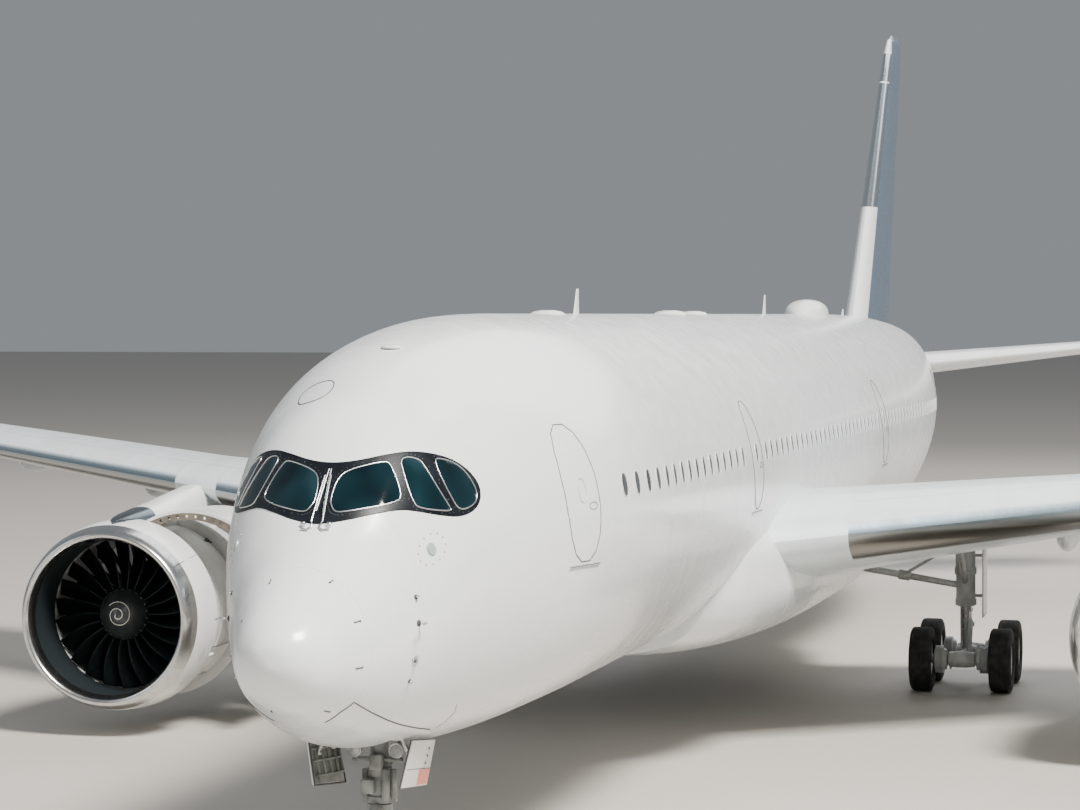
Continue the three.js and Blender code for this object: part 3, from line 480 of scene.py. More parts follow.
def tintedGlass(name, deep, bright):
    return mottled(name, bright, 0.08, (20, 3), [(0.3, deep), (0.75, bright)], Coat_Weight=0.8, Coat_Roughness=0.03)


# Paints
white, dull = paint["white"], paint["whiteDull"]
hullPaint = paintedSkin("white hull paint", white, dull, 0.24, 2.6)
wingPaint = paintedSkin("grey wing paint", paint["wing"], paint["wingDull"], 0.38, 1.7, 0, 0.8)
tailPaint = paintedSkin("blue tail paint", paint["blue"], (0.11, 0.15, 0.2), 0.3, 0, 1, 0.4)
tailWhite = paintedSkin("white tail paint", white, dull, 0.28, 1.5, 0, 0.5)
cowlPaint = paintedSkin("white cowl paint", (0.78, 0.79, 0.78), (0.66, 0.66, 0.64), 0.3, 0, 1, 0.7)
rimPaint = paintedSkin("window rim paint", (0.6, 0.62, 0.63), (0.5, 0.52, 0.52), 0.35)
spiralPaint = paintedSkin("spiral paint", (0.62, 0.6, 0.54), (0.45, 0.43, 0.38), 0.5)
sensorPaint = paintedSkin("static plate paint", (0.36, 0.43, 0.41), (0.3, 0.36, 0.34), 0.35)
redPaint = paintedSkin("red marks", (0.4, 0.12, 0.09), (0.3, 0.1, 0.08), 0.4)
orangePaint = paintedSkin("orange patch", (0.8, 0.13, 0.045), (0.62, 0.1, 0.04), 0.4)
gearPaint = mottled("gear paint", (0.6, 0.62, 0.62), 0.38, (9, 7, (1, 1, 0.4)),
                    [(0.38, (0.62, 0.64, 0.64)), (0.7, (0.36, 0.36, 0.34))])
# The nose leg's paint is the gear paint darkened: a painted shade for the leg standing in the shadow under the nose
noseLegShadePaint = mottled("nose leg paint", (0.3, 0.32, 0.31), 0.4, (9, 7),
                   [(0.35, (0.36, 0.38, 0.37)), (0.72, (0.13, 0.14, 0.135))])
liningPaint = mottled("door lining", (0.2, 0.22, 0.2), 0.5, (8, 6),
                      [(0.3, (0.1, 0.115, 0.105)), (0.8, (0.3, 0.32, 0.3))])
casePaint = mottled("fan case paint", (0.82, 0.82, 0.8), 0.4, (5, 6),
                    [(0.3, (0.86, 0.86, 0.84)), (0.8, (0.76, 0.75, 0.72))])
framePaint = mottled("cowl frame primer", (0.3, 0.26, 0.21), 0.55, (9, 6),
                     [(0.3, (0.085, 0.07, 0.055)), (0.8, (0.21, 0.18, 0.14))])
spinnerPaint = mottled("spinner paint", (0.02, 0.024, 0.026), 0.35, (11, 5),
                       [(0.3, (0.014, 0.017, 0.019)), (0.8, (0.04, 0.045, 0.047))],
                       Coat_Weight=0.4, Coat_Roughness=0.1)
maskPaint = mottled("black mask", (0.008, 0.01, 0.012), 0.3, (8, 5),
                    [(0.3, (0.003, 0.004, 0.006)), (0.8, (0.012, 0.015, 0.02))], Specular_IOR_Level=0.2)
jointPaint = mottled("dark joint", (0.05, 0.052, 0.055), 0.6, (6, 5),
                     [(0.3, (0.03, 0.032, 0.034)), (0.8, (0.12, 0.12, 0.12))])
rubber = mottled("tyre rubber", (0.02, 0.02, 0.021), 0.82, (12, 8),
                 [(0.4, (0.014, 0.014, 0.015)), (0.75, (0.06, 0.057, 0.052))])
for material, scale, detail, strength in ((gearPaint, 60, 4, 0.1), (noseLegShadePaint, 60, 4, 0.1), (rubber, 90, 5, 0.25)):
    bump(material, noise(material, scale, detail), strength, 0.001)
# The inlet liner is near black: a painted shade for the inside of the inlet; its cells are the liner's own pattern
linerShadePaint = newMaterial("inlet liner", (0.01, 0.014, 0.015), 0.6, Specular_IOR_Level=0.2)
weave = addNode(linerShadePaint, "TexVoronoi", {"Vector": objectPoint(linerShadePaint), "Scale": 140}).outputs["Distance"]
cells = ramp(linerShadePaint, weave, [(0.1, (0.004, 0.006, 0.007)), (0.45, (0.013, 0.018, 0.02))])
plug(linerShadePaint, cells, "Base Color")
bump(linerShadePaint, weave, 0.1, 0.001)

# Metals
lipMetal = brushedMetal("polished lip", (0.72, 0.72, 0.71), (0.52, 0.52, 0.52), 0.2, (1, 0.25, 1), 14)
wheelMetal = brushedMetal("wheel alloy", (0.62, 0.62, 0.61), (0.4, 0.4, 0.4), 0.32, (0.3, 1, 1))
hotMetal = brushedMetal("exhaust alloy", (0.34, 0.31, 0.28), (0.19, 0.17, 0.15), 0.36, (1, 0.2, 1))
coreMetal = brushedMetal("core cowl alloy", (0.42, 0.4, 0.37), (0.27, 0.25, 0.22), 0.34, (1, 0.2, 1))
# The fan metal is darkened nearly to black: a painted shade for the inside of the inlet, on the fan blades and the
# guide vanes
fanShadeMetal = brushedMetal("fan titanium", (0.04, 0.05, 0.053), (0.014, 0.018, 0.02), 0.36, (1, 1, 1), 10)
trimMetal = brushedMetal("trim metal", (0.75, 0.76, 0.77), (0.5, 0.51, 0.52), 0.25, (1, 1, 1))
rivetMetal = brushedMetal("rivet metal", (0.42, 0.44, 0.46), (0.2, 0.21, 0.22), 0.4, (1, 1, 1))
# The pylon cap's metal is tinted dark blue with stretched streaks: a painted reflection of the sky on the polished
# cap
skyReflectionMetal = brushedMetal("blue steel", (0.24, 0.28, 0.31), (0.05, 0.07, 0.09), 0.25, (1.6, 0.08, 1.6), 9)

# Glass
# Flight deck glass: dark teal with brighter stretched patches that are painted reflections in the panes
reflectionPaintedGlass = mottled("flight deck glass", (0.012, 0.018, 0.02), 0.05, (2.6, 1, (1, 1, 0.5)),
                    [(0.36, (0.001, 0.006, 0.009)), (0.55, (0.003, 0.015, 0.02)), (0.75, (0.016, 0.04, 0.05))],
                    Specular_IOR_Level=0.35)
cabinGlass = mottled("cabin glass", (0.02, 0.025, 0.03), 0.08, (3, 2),
                     [(0.3, (0.015, 0.018, 0.022)), (0.7, (0.09, 0.1, 0.11))], Coat_Weight=0.6, Coat_Roughness=0.03)
lampGlass = tintedGlass("lamp glass", (0.3, 0.32, 0.33), (0.62, 0.64, 0.65))
redGlass = tintedGlass("red lamp glass", (0.2, 0.01, 0.01), (0.42, 0.03, 0.025))


# How far a place is behind a swept edge, in metres of the model, and how far out or up it is
def behindEdge(material, outward, start, sweep):
    coordinate = addNode(material, "TexCoord").outputs["Object"]
    axes = addNode(material, "SeparateXYZ", {0: coordinate}).outputs
    across = maths(material, "ABSOLUTE", axes[0]) if outward == "x" else axes[2]
    line = maths(material, "MULTIPLY_ADD", across, sweep, start)
    return maths(material, "SUBTRACT", axes[1], line), across, axes[2]


# 1 where the value lies between two bounds
def between(material, value, low, high):
    return times(material, maths(material, "GREATER_THAN", value, low), maths(material, "LESS_THAN", value, high))


def outside(material, value, low, high):
    return maths(material, "SUBTRACT", 1.0, between(material, value, low, high))


def baseColour(material):
    return material.node_tree.nodes["Principled BSDF"].inputs["Base Color"].links[0].from_socket


# Polished metal where the mask is 1, over what the paint has there
def edgeMetal(material, mask, tone):
    plug(material, mix(material, mask, baseColour(material), tone), "Base Color")
    shader = material.node_tree.nodes["Principled BSDF"]
    gloss = shader.inputs["Roughness"].links[0].from_socket
    plug(material, addNode(material, "Mix", {0: mask, 2: gloss, 3: 0.22}).outputs[0], "Roughness")
    plug(material, addNode(material, "Mix", {0: mask, 2: 0.0, 3: 1.0}).outputs[0], "Metallic")


# The wing's leading edge, in metres of the model: its line, where the slats start and end, their breaks,
# how far the metal reaches above and below the edge, the lines behind them, and the colours of the painted
# reflection on the polished slats, by height from ground brown below to sky blue above
slats = {
    "start": -7.245, "sweep": 0.7, "from": 2.1, "to": 13.6, "pylon": (4.8, 5.4), "breaks": (7.05, 9.2, 11.4),
    "rise": 0.085, "height": 1.889, "above": 0.085, "below": 0.42, "softness": 11,
    "seams": (0.5, 1.35), "line": 0.014, "lineDepth": 0.55, "lineColour": (0.16, 0.18, 0.19),
    "reflectionTones": [(0.0, (0.2, 0.19, 0.17)), (0.3, (0.36, 0.37, 0.37)), (0.52, (0.24, 0.31, 0.35)),
              (0.68, (0.07, 0.14, 0.2)), (0.85, (0.16, 0.27, 0.34)), (1.0, (0.4, 0.5, 0.55))],
}


def dressWing():
    behind, across, upward = behindEdge(wingPaint, "x", slats["start"], slats["sweep"])
    level = maths(wingPaint, "MULTIPLY_ADD", across, slats["rise"], slats["height"])
    height = maths(wingPaint, "SUBTRACT", upward, level)
    inSpan = between(wingPaint, across, slats["from"], slats["to"])
    seam, second = (between(wingPaint, behind, start, start + slats["line"]) for start in slats["seams"])
    seam = maths(wingPaint, "MAXIMUM", seam, second)
    ahead = maths(wingPaint, "LESS_THAN", behind, slats["seams"][0])
    for station in slats["breaks"] + slats["pylon"]:
        gap = between(wingPaint, across, station, station + slats["line"] / 2)
        seam = maths(wingPaint, "MAXIMUM", seam, times(wingPaint, gap, ahead))
    dark = times(wingPaint, times(wingPaint, seam, inSpan), slats["lineDepth"])
    plug(wingPaint, mix(wingPaint, dark, baseColour(wingPaint), slats["lineColour"]), "Base Color")
    above = maths(wingPaint, "GREATER_THAN", height, 0.0)
    limit = maths(wingPaint, "MULTIPLY_ADD", above, slats["above"] - slats["below"], slats["below"])
    soft = times(wingPaint, maths(wingPaint, "SUBTRACT", limit, behind), slats["softness"])
    soft = maths(wingPaint, "MAXIMUM", maths(wingPaint, "MINIMUM", soft, 1.0), 0.0)
    onSlats = times(wingPaint, inSpan, outside(wingPaint, across, *slats["pylon"]))
    # Painted reflection: the slat metal's colour runs by height, from ground brown below to sky blue above
    tone = ramp(wingPaint, maths(wingPaint, "MULTIPLY_ADD", height, 5.0, 0.5), slats["reflectionTones"])
    edgeMetal(wingPaint, times(wingPaint, soft, onSlats), tone)


# The fin's leading edge: white below, polished between two heights with a joint, over the blue side
finEdge = {"start": 6.376, "sweep": 0.9487, "width": 0.71, "taper": -0.075, "polished": (5.74, 8.2),
           "joint": (7.71, 7.735), "metal": (0.62, 0.68, 0.72)}


def dressFin():
    behind, height = behindEdge(tailPaint, "z", finEdge["start"], finEdge["sweep"])[:2]
    width = maths(tailPaint, "MULTIPLY_ADD", height, finEdge["taper"], finEdge["width"])
    inBand = maths(tailPaint, "LESS_THAN", behind, width)
    plug(tailPaint, mix(tailPaint, inBand, baseColour(tailPaint), paint["white"]), "Base Color")
    upper = times(tailPaint, between(tailPaint, height, *finEdge["polished"]),
                  outside(tailPaint, height, *finEdge["joint"]))
    edgeMetal(tailPaint, times(tailPaint, inBand, upper), finEdge["metal"])


dressWing()
dressFin()
print("materials made")


# The last step of each piece: its material, the body it rides on and the frame's nodes it stands for
def finished(piece, material, *replaced, body="airframe", slot=None, degrees=None):
    piece.data.materials.clear()
    piece.data.materials.append(material)
    if degrees:
        smooth(piece, degrees)
    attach(piece, body)
    if replaced:
        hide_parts(*replaced)
    return piece


def otherSide(word):
    return word.replace("port", "starboard")


# A port piece and its mirror image to starboard; names, bodies and nodes follow the side
def finishedPair(piece, material, *replaced, body="airframe", slot=None):
    twin = mirrorOf(piece, otherSide(piece.name))
    finished(piece, material, *replaced, body=body, slot=slot)
    finished(twin, material, *[otherSide(node) for node in replaced], body=otherSide(body), slot=slot)


# The frame's own solids: the first start of a name that fits gives the finish, and the rest are white
frameFinish = {
    ("nose_gear_door",): hullPaint, ("engine_inlet", "thrust", "pylon", "fan_cowl"): cowlPaint,
    ("nose_gear", "main_gear"): gearPaint,
    ("nose_tyre", "main_tyre"): rubber,
    ("nose_wheels", "main_wheels"): wheelMetal,
    ("wing", "inboard_flap", "outboard_flap", "aileron"): wingPaint,
    ("fin", "rudder"): tailPaint,
    ("engine_core",): hotMetal, ("engine_fan",): fanShadeMetal, ("windscreen",): reflectionPaintedGlass,
}
for name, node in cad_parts.items():
    fits = [finish for starts, finish in frameFinish.items() if name.startswith(starts)] + [hullPaint]
    for slot in node.material_slots:
        slot.link = "OBJECT"
        slot.material = fits[0]


# Fuselage: half width, top and bottom at each station, as in the frame
hull = {
    "points": 96,
    "barrel": {"from": 10.5, "to": 44, "size": (2.98, 8.28, 2.19)},
    "droop": {"most": 0.12, "start": 1.5, "end": 6},
    "nose": [
        (0.0, 0.05, 4.03, 3.93), (0.12, 0.36, 4.32, 3.63), (0.4, 0.62, 4.56, 3.33), (0.8, 0.8, 4.83, 3.14),
        (1.14, 0.93, 5.05, 3.0), (1.8, 1.17, 5.55, 2.76), (2.4, 1.42, 6.2, 2.6), (3.2, 1.71, 6.98, 2.47),
        (4.2, 2.02, 7.42, 2.36), (5.4, 2.35, 7.81, 2.26), (6.8, 2.67, 8.07, 2.21), (8.4, 2.88, 8.23, 2.2),
        (10.5, 2.98, 8.28, 2.19), (14, 2.98, 8.28, 2.19),
    ],
    "tail": [
        (40, 2.98, 8.28, 2.19), (44, 2.98, 8.28, 2.19), (47, 2.95, 8.28, 2.36), (50, 2.8, 8.26, 2.8),
        (53, 2.52, 8.22, 3.4), (56, 2.13, 8.14, 4.1), (59, 1.65, 8.02, 4.85), (62, 1.1, 7.84, 5.62),
        (64.5, 0.68, 7.62, 6.25), (66.8, 0.3, 7.33, 6.75),
    ],
}


def slopeAt(xs, ys, k):
    before, after = max(0, k - 1), min(len(xs) - 1, k + 1)
    return (ys[after] - ys[before]) / (xs[after] - xs[before])


# A smooth curve through the table, taken at one station
def smoothValue(xs, ys, x):
    i = max(0, min(len(xs) - 2, sum(1 for known in xs[1:-1] if known <= x)))
    step = xs[i + 1] - xs[i]
    t = (x - xs[i]) / step
    first, second = slopeAt(xs, ys, i) * step, slopeAt(xs, ys, i + 1) * step
    return ((2 * t ** 3 - 3 * t ** 2 + 1) * ys[i] + (t ** 3 - 2 * t ** 2 + t) * first
            + (3 * t ** 2 - 2 * t ** 3) * ys[i + 1] + (t ** 3 - t ** 2) * second)


def hullRow(y, grow=0.0):
    barrel, droop = hull["barrel"], hull["droop"]
    if barrel["from"] <= y <= barrel["to"]:
        halfWidth, top, bottom = barrel["size"]
    else:
        rows, bend = (hull["nose"], math.sqrt) if y < barrel["from"] else (hull["tail"], float)
        xs = [bend(row[0]) for row in rows]
        halfWidth, top, bottom = (smoothValue(xs, [row[k] for row in rows], bend(y)) for k in (1, 2, 3))
    drop = droop["most"] * max(0, min(1, 1 - y / droop["end"])) * min(1, y / droop["start"])
    middle = (top + bottom) / 2 - drop
    return {"y": y, "half": halfWidth + grow, "up": top - middle + grow, "down": middle - bottom + grow,
            "middle": middle}


# How far a height is above or below the widest part of a row, and the reach of the skin on that side
def riseIn(row, z):
    rise = z - row["middle"]
    return rise, row["up"] if rise > 0 else row["down"]


# The height of the crown line at a station
def topOf(y):
    row = hullRow(y)
    return row["middle"] + row["up"]


# A length of hull, ring after ring
def hullLength(name, stations, grow=0.0):
    points = hull["points"]
    rows = [hullRow(y, grow) for y in stations]
    centre = place(0, rows[0]["y"], rows[0]["middle"])
    piece = startRing(name, centre, (0, 1, 0), half, points)
    before = {"y": rows[0]["y"], "half": 1, "up": 1, "down": 1, "middle": rows[0]["middle"]}
    for i, row in enumerate(rows):
        if i:
            step = ((row["y"] - before["y"]) * half, (row["middle"] - before["middle"]) * half)
            bpy.ops.mesh.extrude_region_move(TRANSFORM_OT_translate={"value": (0, step[0], step[1])})
        centre = place(0, row["y"], row["middle"])
        wide, high, low = (row[key] / before[key] for key in ("half", "up", "down"))
        bpy.ops.transform.resize(value=(wide, 1, low), center_override=tuple(centre))
        if abs(high / low - 1) > 1e-6:
            selectLast(points, lambda co: co.z > centre.z + 1e-6)
            bpy.ops.transform.resize(value=(1, 1, high / low), center_override=tuple(centre))
            selectLast(points)
        before = row
    return smooth(closeUp(piece), 40)


def spread(start, end, steps, bend=1.0):
    return [start + (end - start) * (i / steps) ** bend for i in range(steps + 1)]


# Where the skin is for a place seen from ahead, and for a place seen from the side
def skinAhead(x, z, grow=0.0):
    near, far = 0.0, 12.0
    for step in range(36):
        y = (near + far) / 2
        row = hullRow(y, grow)
        rise, high = riseIn(row, z)
        if (x / row["half"]) ** 2 + (rise / high) ** 2 < 1:
            far = y
        else:
            near = y
    return Vector((x, far, z))


def skinBeside(y, z, side=1, grow=0.0):
    row = hullRow(y, grow)
    rise, high = riseIn(row, z)
    return Vector((side * row["half"] * math.sqrt(max(0.0, 1 - (rise / high) ** 2)), y, z))


def skinNormal(point):
    row = hullRow(point.y)
    rise, high = riseIn(row, point.z)
    ahead, behind = hullRow(max(0.01, point.y - 0.05)), hullRow(point.y + 0.05)
    flare = (behind["half"] - ahead["half"]) / 0.1
    slope = point.x / row["half"] ** 2, rise / high ** 2
    return Vector((slope[0], -flare * math.hypot(*slope), slope[1])).normalized()


jointGap = 0.0016
noseStations = spread(1.14 + jointGap, 10.5 - jointGap, 56)
noseBay = {"halfWidth": 0.56, "from": 3.3, "to": 6.9, "top": 3.35}


def makeNose():
    radome = hullLength("radome_skin", spread(0.0, 1.14 - jointGap, 26, 2.0))
    finished(radome, hullPaint, "radome")
    nose = hullLength("nose_skin", noseStations)
    wide = noseBay["halfWidth"]
    cut(nose, block("bay", place(-wide, noseBay["from"], 1.9), place(wide, noseBay["to"], noseBay["top"])))
    finished(nose, hullPaint, "nose_section", degrees=40)
    print("nose made")


holdDoors = {
    "bottom": 2.85, "top": 4.8, "thickness": 0.12, "clearance": 0.014,
    "forward": {"from": 12.4, "to": 15.2, "start": 10.5, "end": 27 - jointGap},
    "aft": {"from": 40.4, "to": 43.2, "start": 27, "end": 44 - jointGap},
    "hinge": {"x": -2.962, "z": 4.812, "radius": 0.024, "notch": 0.038, "arm": 0.018, "armEnd": -2.88},
    "knuckles": [(0.42, 0.47, 4.75, "door"), (0.47, 0.53, 4.9, "skin"), (0.53, 0.58, 4.75, "door")],
    "hold": {"starboard": -2.6, "port": 1.5, "inset": 0.15, "floor": 2.95, "roof": 4.65},
}
exhaust = {
    "z": 7.04, "radius": 0.19,
    "pipe": [(0.188, 66.3), (0.188, 66.82), (0.176, 66.83), (0.17, 66.3)],
    "back": [(0.02, 66.24), (0.186, 66.24), (0.186, 66.29), (0.02, 66.27)],
}


def doorSpace(name, door, grow):
    return block(name, place(-3.3, door["from"] - grow, holdDoors["bottom"] - grow),
                 place(-1, door["to"] + grow, holdDoors["top"] + grow))


# A hold, its opening and its door; the frame has the same sizes
def makeHold(word):
    door, gap = holdDoors[word], holdDoors["clearance"]
    stations = spread(door["start"], door["end"], 12)
    skin = hullLength(word + "_skin", stations)
    opening = cut(doorSpace("opening", door, gap),
                  hullLength("inside", stations, -(holdDoors["thickness"] + gap)))
    hold = holdDoors["hold"]
    room = block("room", place(hold["starboard"], door["from"] + hold["inset"], hold["floor"]),
                 place(hold["port"], door["to"] - hold["inset"], hold["roof"]))
    cut(skin, opening, room)
    panel = cut(hullLength(word + "_door_skin", stations), doorSpace("space", door, 0), operation="INTERSECT")
    cut(panel, hullLength("inside", stations, -holdDoors["thickness"]))
    hinge = holdDoors["hinge"]
    parts = {"door": [], "skin": []}
    for start, end, foot, side in holdDoors["knuckles"]:
        low, high = (door["from"] + share * (door["to"] - door["from"]) for share in (start, end))
        middle = (low + high) / 2
        other = panel if side == "skin" else skin
        notch = rod("notch", (hinge["x"], low - 0.004, hinge["z"]), (hinge["x"], high + 0.004, hinge["z"]),
                    hinge["notch"], ease=0.01)
        cut(other, notch)
        parts[side] += [
            rod("knuckle", (hinge["x"], low + 0.002, hinge["z"]), (hinge["x"], high - 0.002, hinge["z"]),
                hinge["radius"]),
            rod("arm", (hinge["x"], middle, hinge["z"]), (hinge["armEnd"], middle, foot), hinge["arm"]),
        ]
    finished(skin, hullPaint, word + "_fuselage", degrees=40)
    finished(panel, hullPaint, word + "_cargo_door", body=word + "_cargo_door", degrees=40)
    finished(joined(word + "_door_knuckles", parts["door"]), wheelMetal, body=word + "_cargo_door")
    finished(joined(word + "_hinge_knuckles", parts["skin"]), wheelMetal)
    print(word, "hold made")


def makeTail():
    tail = hullLength("tail_skin", spread(44, 66.8, 44))
    z = exhaust["z"]
    cut(tail, rod("outlet", (0, 66.2, z), (0, 67.2, z), exhaust["radius"], 48, 0.01))
    finished(tail, hullPaint, "tail_cone", degrees=40)
    finished(lathed("exhaust_pipe", 0, z, exhaust["pipe"], 48), hotMetal)
    finished(lathed("exhaust_back", 0, z, exhaust["back"], 48), hotMetal)
    print("tail made")


# Flight deck windows, each outline seen from ahead: x and z, port side
windscreen = {
    "mask": [(0.07, 5.56), (0.35, 5.60), (0.63, 5.67), (0.95, 5.73), (1.16, 5.69), (1.37, 5.63), (1.56, 5.59),
             (1.67, 5.65), (1.71, 5.78), (1.67, 5.98), (1.55, 6.17), (1.39, 6.32), (1.18, 6.42), (0.92, 6.46),
             (0.65, 6.42), (0.35, 6.35), (0.11, 6.32)],
    "front": [(0.15, 5.76), (0.10, 5.85), (0.12, 6.10), (0.22, 6.23), (0.64, 6.34), (0.74, 6.31), (0.94, 5.92),
              (0.91, 5.81), (0.32, 5.71), (0.20, 5.71)],
    "side": [(0.84, 6.35), (0.89, 6.39), (1.01, 6.37), (1.10, 6.30), (1.47, 5.71), (1.46, 5.67), (1.16, 5.73),
             (1.08, 5.80), (0.89, 6.22)],
    "rear": [(1.19, 6.34), (1.24, 6.36), (1.39, 6.30), (1.53, 6.16), (1.66, 5.92), (1.68, 5.76), (1.60, 5.68),
             (1.53, 5.70), (1.45, 5.85)],
    "depth": 0.03, "maskProud": 0.004, "glassProud": 0.0065, "beadProud": 0.006, "bead": 0.0095,
    "rivets": (("front", 30), ("side", 22), ("rear", 18)), "rivet": [(0, 0.0035), (0.0008, 0.003), (0.0012, 0.001)],
}


# The part of a thin layer on the nose that an outline covers, seen from ahead
def noseLayer(name, outline, proud):
    stations = [y for y in noseStations if y < 5.2]
    piece = prism(name, [(x, 1.3, z) for x, z in outline], (0, 3.6, 0))
    cut(piece, hullLength("outside", stations, proud), operation="INTERSECT")
    return cut(piece, hullLength("inside", stations, proud - windscreen["depth"]))


def makeWindscreen():
    port = windscreen["mask"]
    outline = rounded(port + [(-x, z) for x, z in reversed(port)], 2)
    mask = noseLayer("windscreen_mask", outline, windscreen["maskProud"])
    finished(mask, maskPaint, "windscreen", degrees=40)
    beads = []
    for key in ("front", "side", "rear"):
        for side, word in sides:
            pane = rounded([(side * x, z) for x, z in windscreen[key]], 2)
            glass = noseLayer(key + "_pane_" + word, pane, windscreen["glassProud"])
            finished(glass, reflectionPaintedGlass, degrees=40)
            beads.append([skinAhead(x, z, windscreen["beadProud"]) for x, z in pane])
    finished(threads("window_beads", beads, windscreen["bead"], rounds=3), trimMetal)
    outlineBead = [skinAhead(x, z, 0.002) for x, z in refined(outline, 0.08)]
    finished(threads("mask_edge", [outlineBead], 0.006), maskPaint)
    first = turned("rivet", (0, 0, 0), (0, 0, 1), windscreen["rivet"], 8)
    rivets = []
    for key, count in windscreen["rivets"]:
        pane = rounded(windscreen[key], 3)
        middle = sum(pane, Vector((0, 0))) / len(pane)
        for side in (1, -1):
            for i in range(0, len(pane), max(1, len(pane) // count)):
                out = pane[i] + (pane[i] - middle).normalized() * 0.045
                rivet = copyOf(first, "rivet")
                spot = skinAhead(side * out.x, out.y, windscreen["maskProud"])
                rivet.rotation_euler = Vector((0, 0, 1)).rotation_difference(skinNormal(spot)).to_euler()
                rivet.location = place(*spot)
                rivets.append(rivet)
    remove(first)
    finished(applyPlace(joined("mask_rivets", rivets)), rivetMetal)
    print("windscreen made")


wipers = {
    "pivot": (0.17, 5.53), "elbow": (0.075, 5.6), "tip": (0.035, 6.24),
    "park": [(0.19, 5.5), (0.1, 5.49), (0.05, 5.53), (0.075, 5.6)],
}


def wiperSpot(side, point, proud):
    return skinAhead(side * point[0], point[1], proud)


def makeWipers():
    elbow, tip = Vector(wipers["elbow"]), Vector(wipers["tip"])
    for side, word in sides:
        base = [wiperSpot(side, point, 0.025) for point in wipers["park"]]
        lift = [wiperSpot(side, elbow.lerp(tip, i / 8), 0.03 + 0.028 * math.sin(math.pi * (i + 1) / 10))
                for i in range(8)]
        pieces = [threads("arm", [base + lift], 0.014, closed=False)]
        blade = [elbow.lerp(tip, share) for share in spread(0.18, 1.0, 10)]
        blade = [wiperSpot(side, (x - 0.02, z), 0.02) for x, z in blade]
        pieces.append(threads("blade", [blade], 0.012, closed=False))
        foot = wiperSpot(side, wipers["pivot"], -0.01)
        pieces.append(rod("foot", foot, foot + skinNormal(foot) * 0.06, 0.035, 20))
        finished(joined("wiper_" + word, pieces), trimMetal)
    print("wipers made")


cabin = {
    "pitch": 0.635, "first": 8.0, "last": 55.6, "height": 5.78, "width": 0.24, "tall": 0.34,
    "doors": [6.35, 19.0, 37.6, 52.6], "doorWidth": 1.07, "doorTall": 1.93, "sill": 4.78,
}


def windowStations():
    count = int((cabin["last"] - cabin["first"]) / cabin["pitch"])
    stations = [cabin["first"] + i * cabin["pitch"] for i in range(count + 1)]
    return [y for y in stations if all(abs(y - door) > 0.85 for door in cabin["doors"])]


def makeWindows():
    places = windowStations() + cabin["doors"]
    outline = rounded(rectangle((0, cabin["height"]), cabin["width"], cabin["tall"]), 2)
    first = prism("pane", [(-3.3, midLength + u, v) for u, v in outline], (6.6, 0, 0))
    panes = [copyOf(first, "pane", (0, (y - midLength) * half, 0)) for y in places]
    remove(first)
    whole = joined("cabin_panes", panes)
    stations = spread(7, 10.4, 10) + spread(10.5, 44, 6) + spread(45, 57, 14)
    cut(whole, hullLength("outside", stations, 0.002), operation="INTERSECT")
    cut(whole, hullLength("inside", stations, -0.03))
    finished(whole, cabinGlass, degrees=40)
    paths = [[skinBeside(y + u, v, side, 0.001) for u, v in outline] for side in (1, -1) for y in places]
    finished(threads("cabin_window_rims", paths, 0.009, rounds=1), rimPaint)
    print("cabin windows made:", len(places), "each side")


def makeDoors():
    outlines, handles, sills = [], [], []
    for y in cabin["doors"]:
        middle = (y, cabin["sill"] + cabin["doorTall"] / 2)
        shape = rounded(rectangle(middle, cabin["doorWidth"], cabin["doorTall"]), 1)
        shape = refined(rounded(shape, 1), 0.12)
        for side in (1, -1):
            outlines.append([skinBeside(u, v, side, 0.0005) for u, v in shape])
            grip = rounded(rectangle((y + 0.3, 5.55), 0.26, 0.1), 2)
            handles.append([skinBeside(u, v, side, 0.001) for u, v in grip])
            sills.append([skinBeside(u, cabin["sill"] - 0.06, side, 0.004) for u in spread(y - 0.5, y + 0.5, 8)])
    finished(threads("door_outlines", outlines, 0.008, rounds=1), jointPaint)
    finished(threads("door_handles", handles, 0.005, rounds=1), jointPaint)
    finished(threads("door_sills", sills, 0.02, closed=False), trimMetal)
    print("doors made")


makeNose()
makeHold("forward")
makeHold("aft")
makeTail()
makeWindscreen()
makeWipers()
makeWindows()
makeDoors()


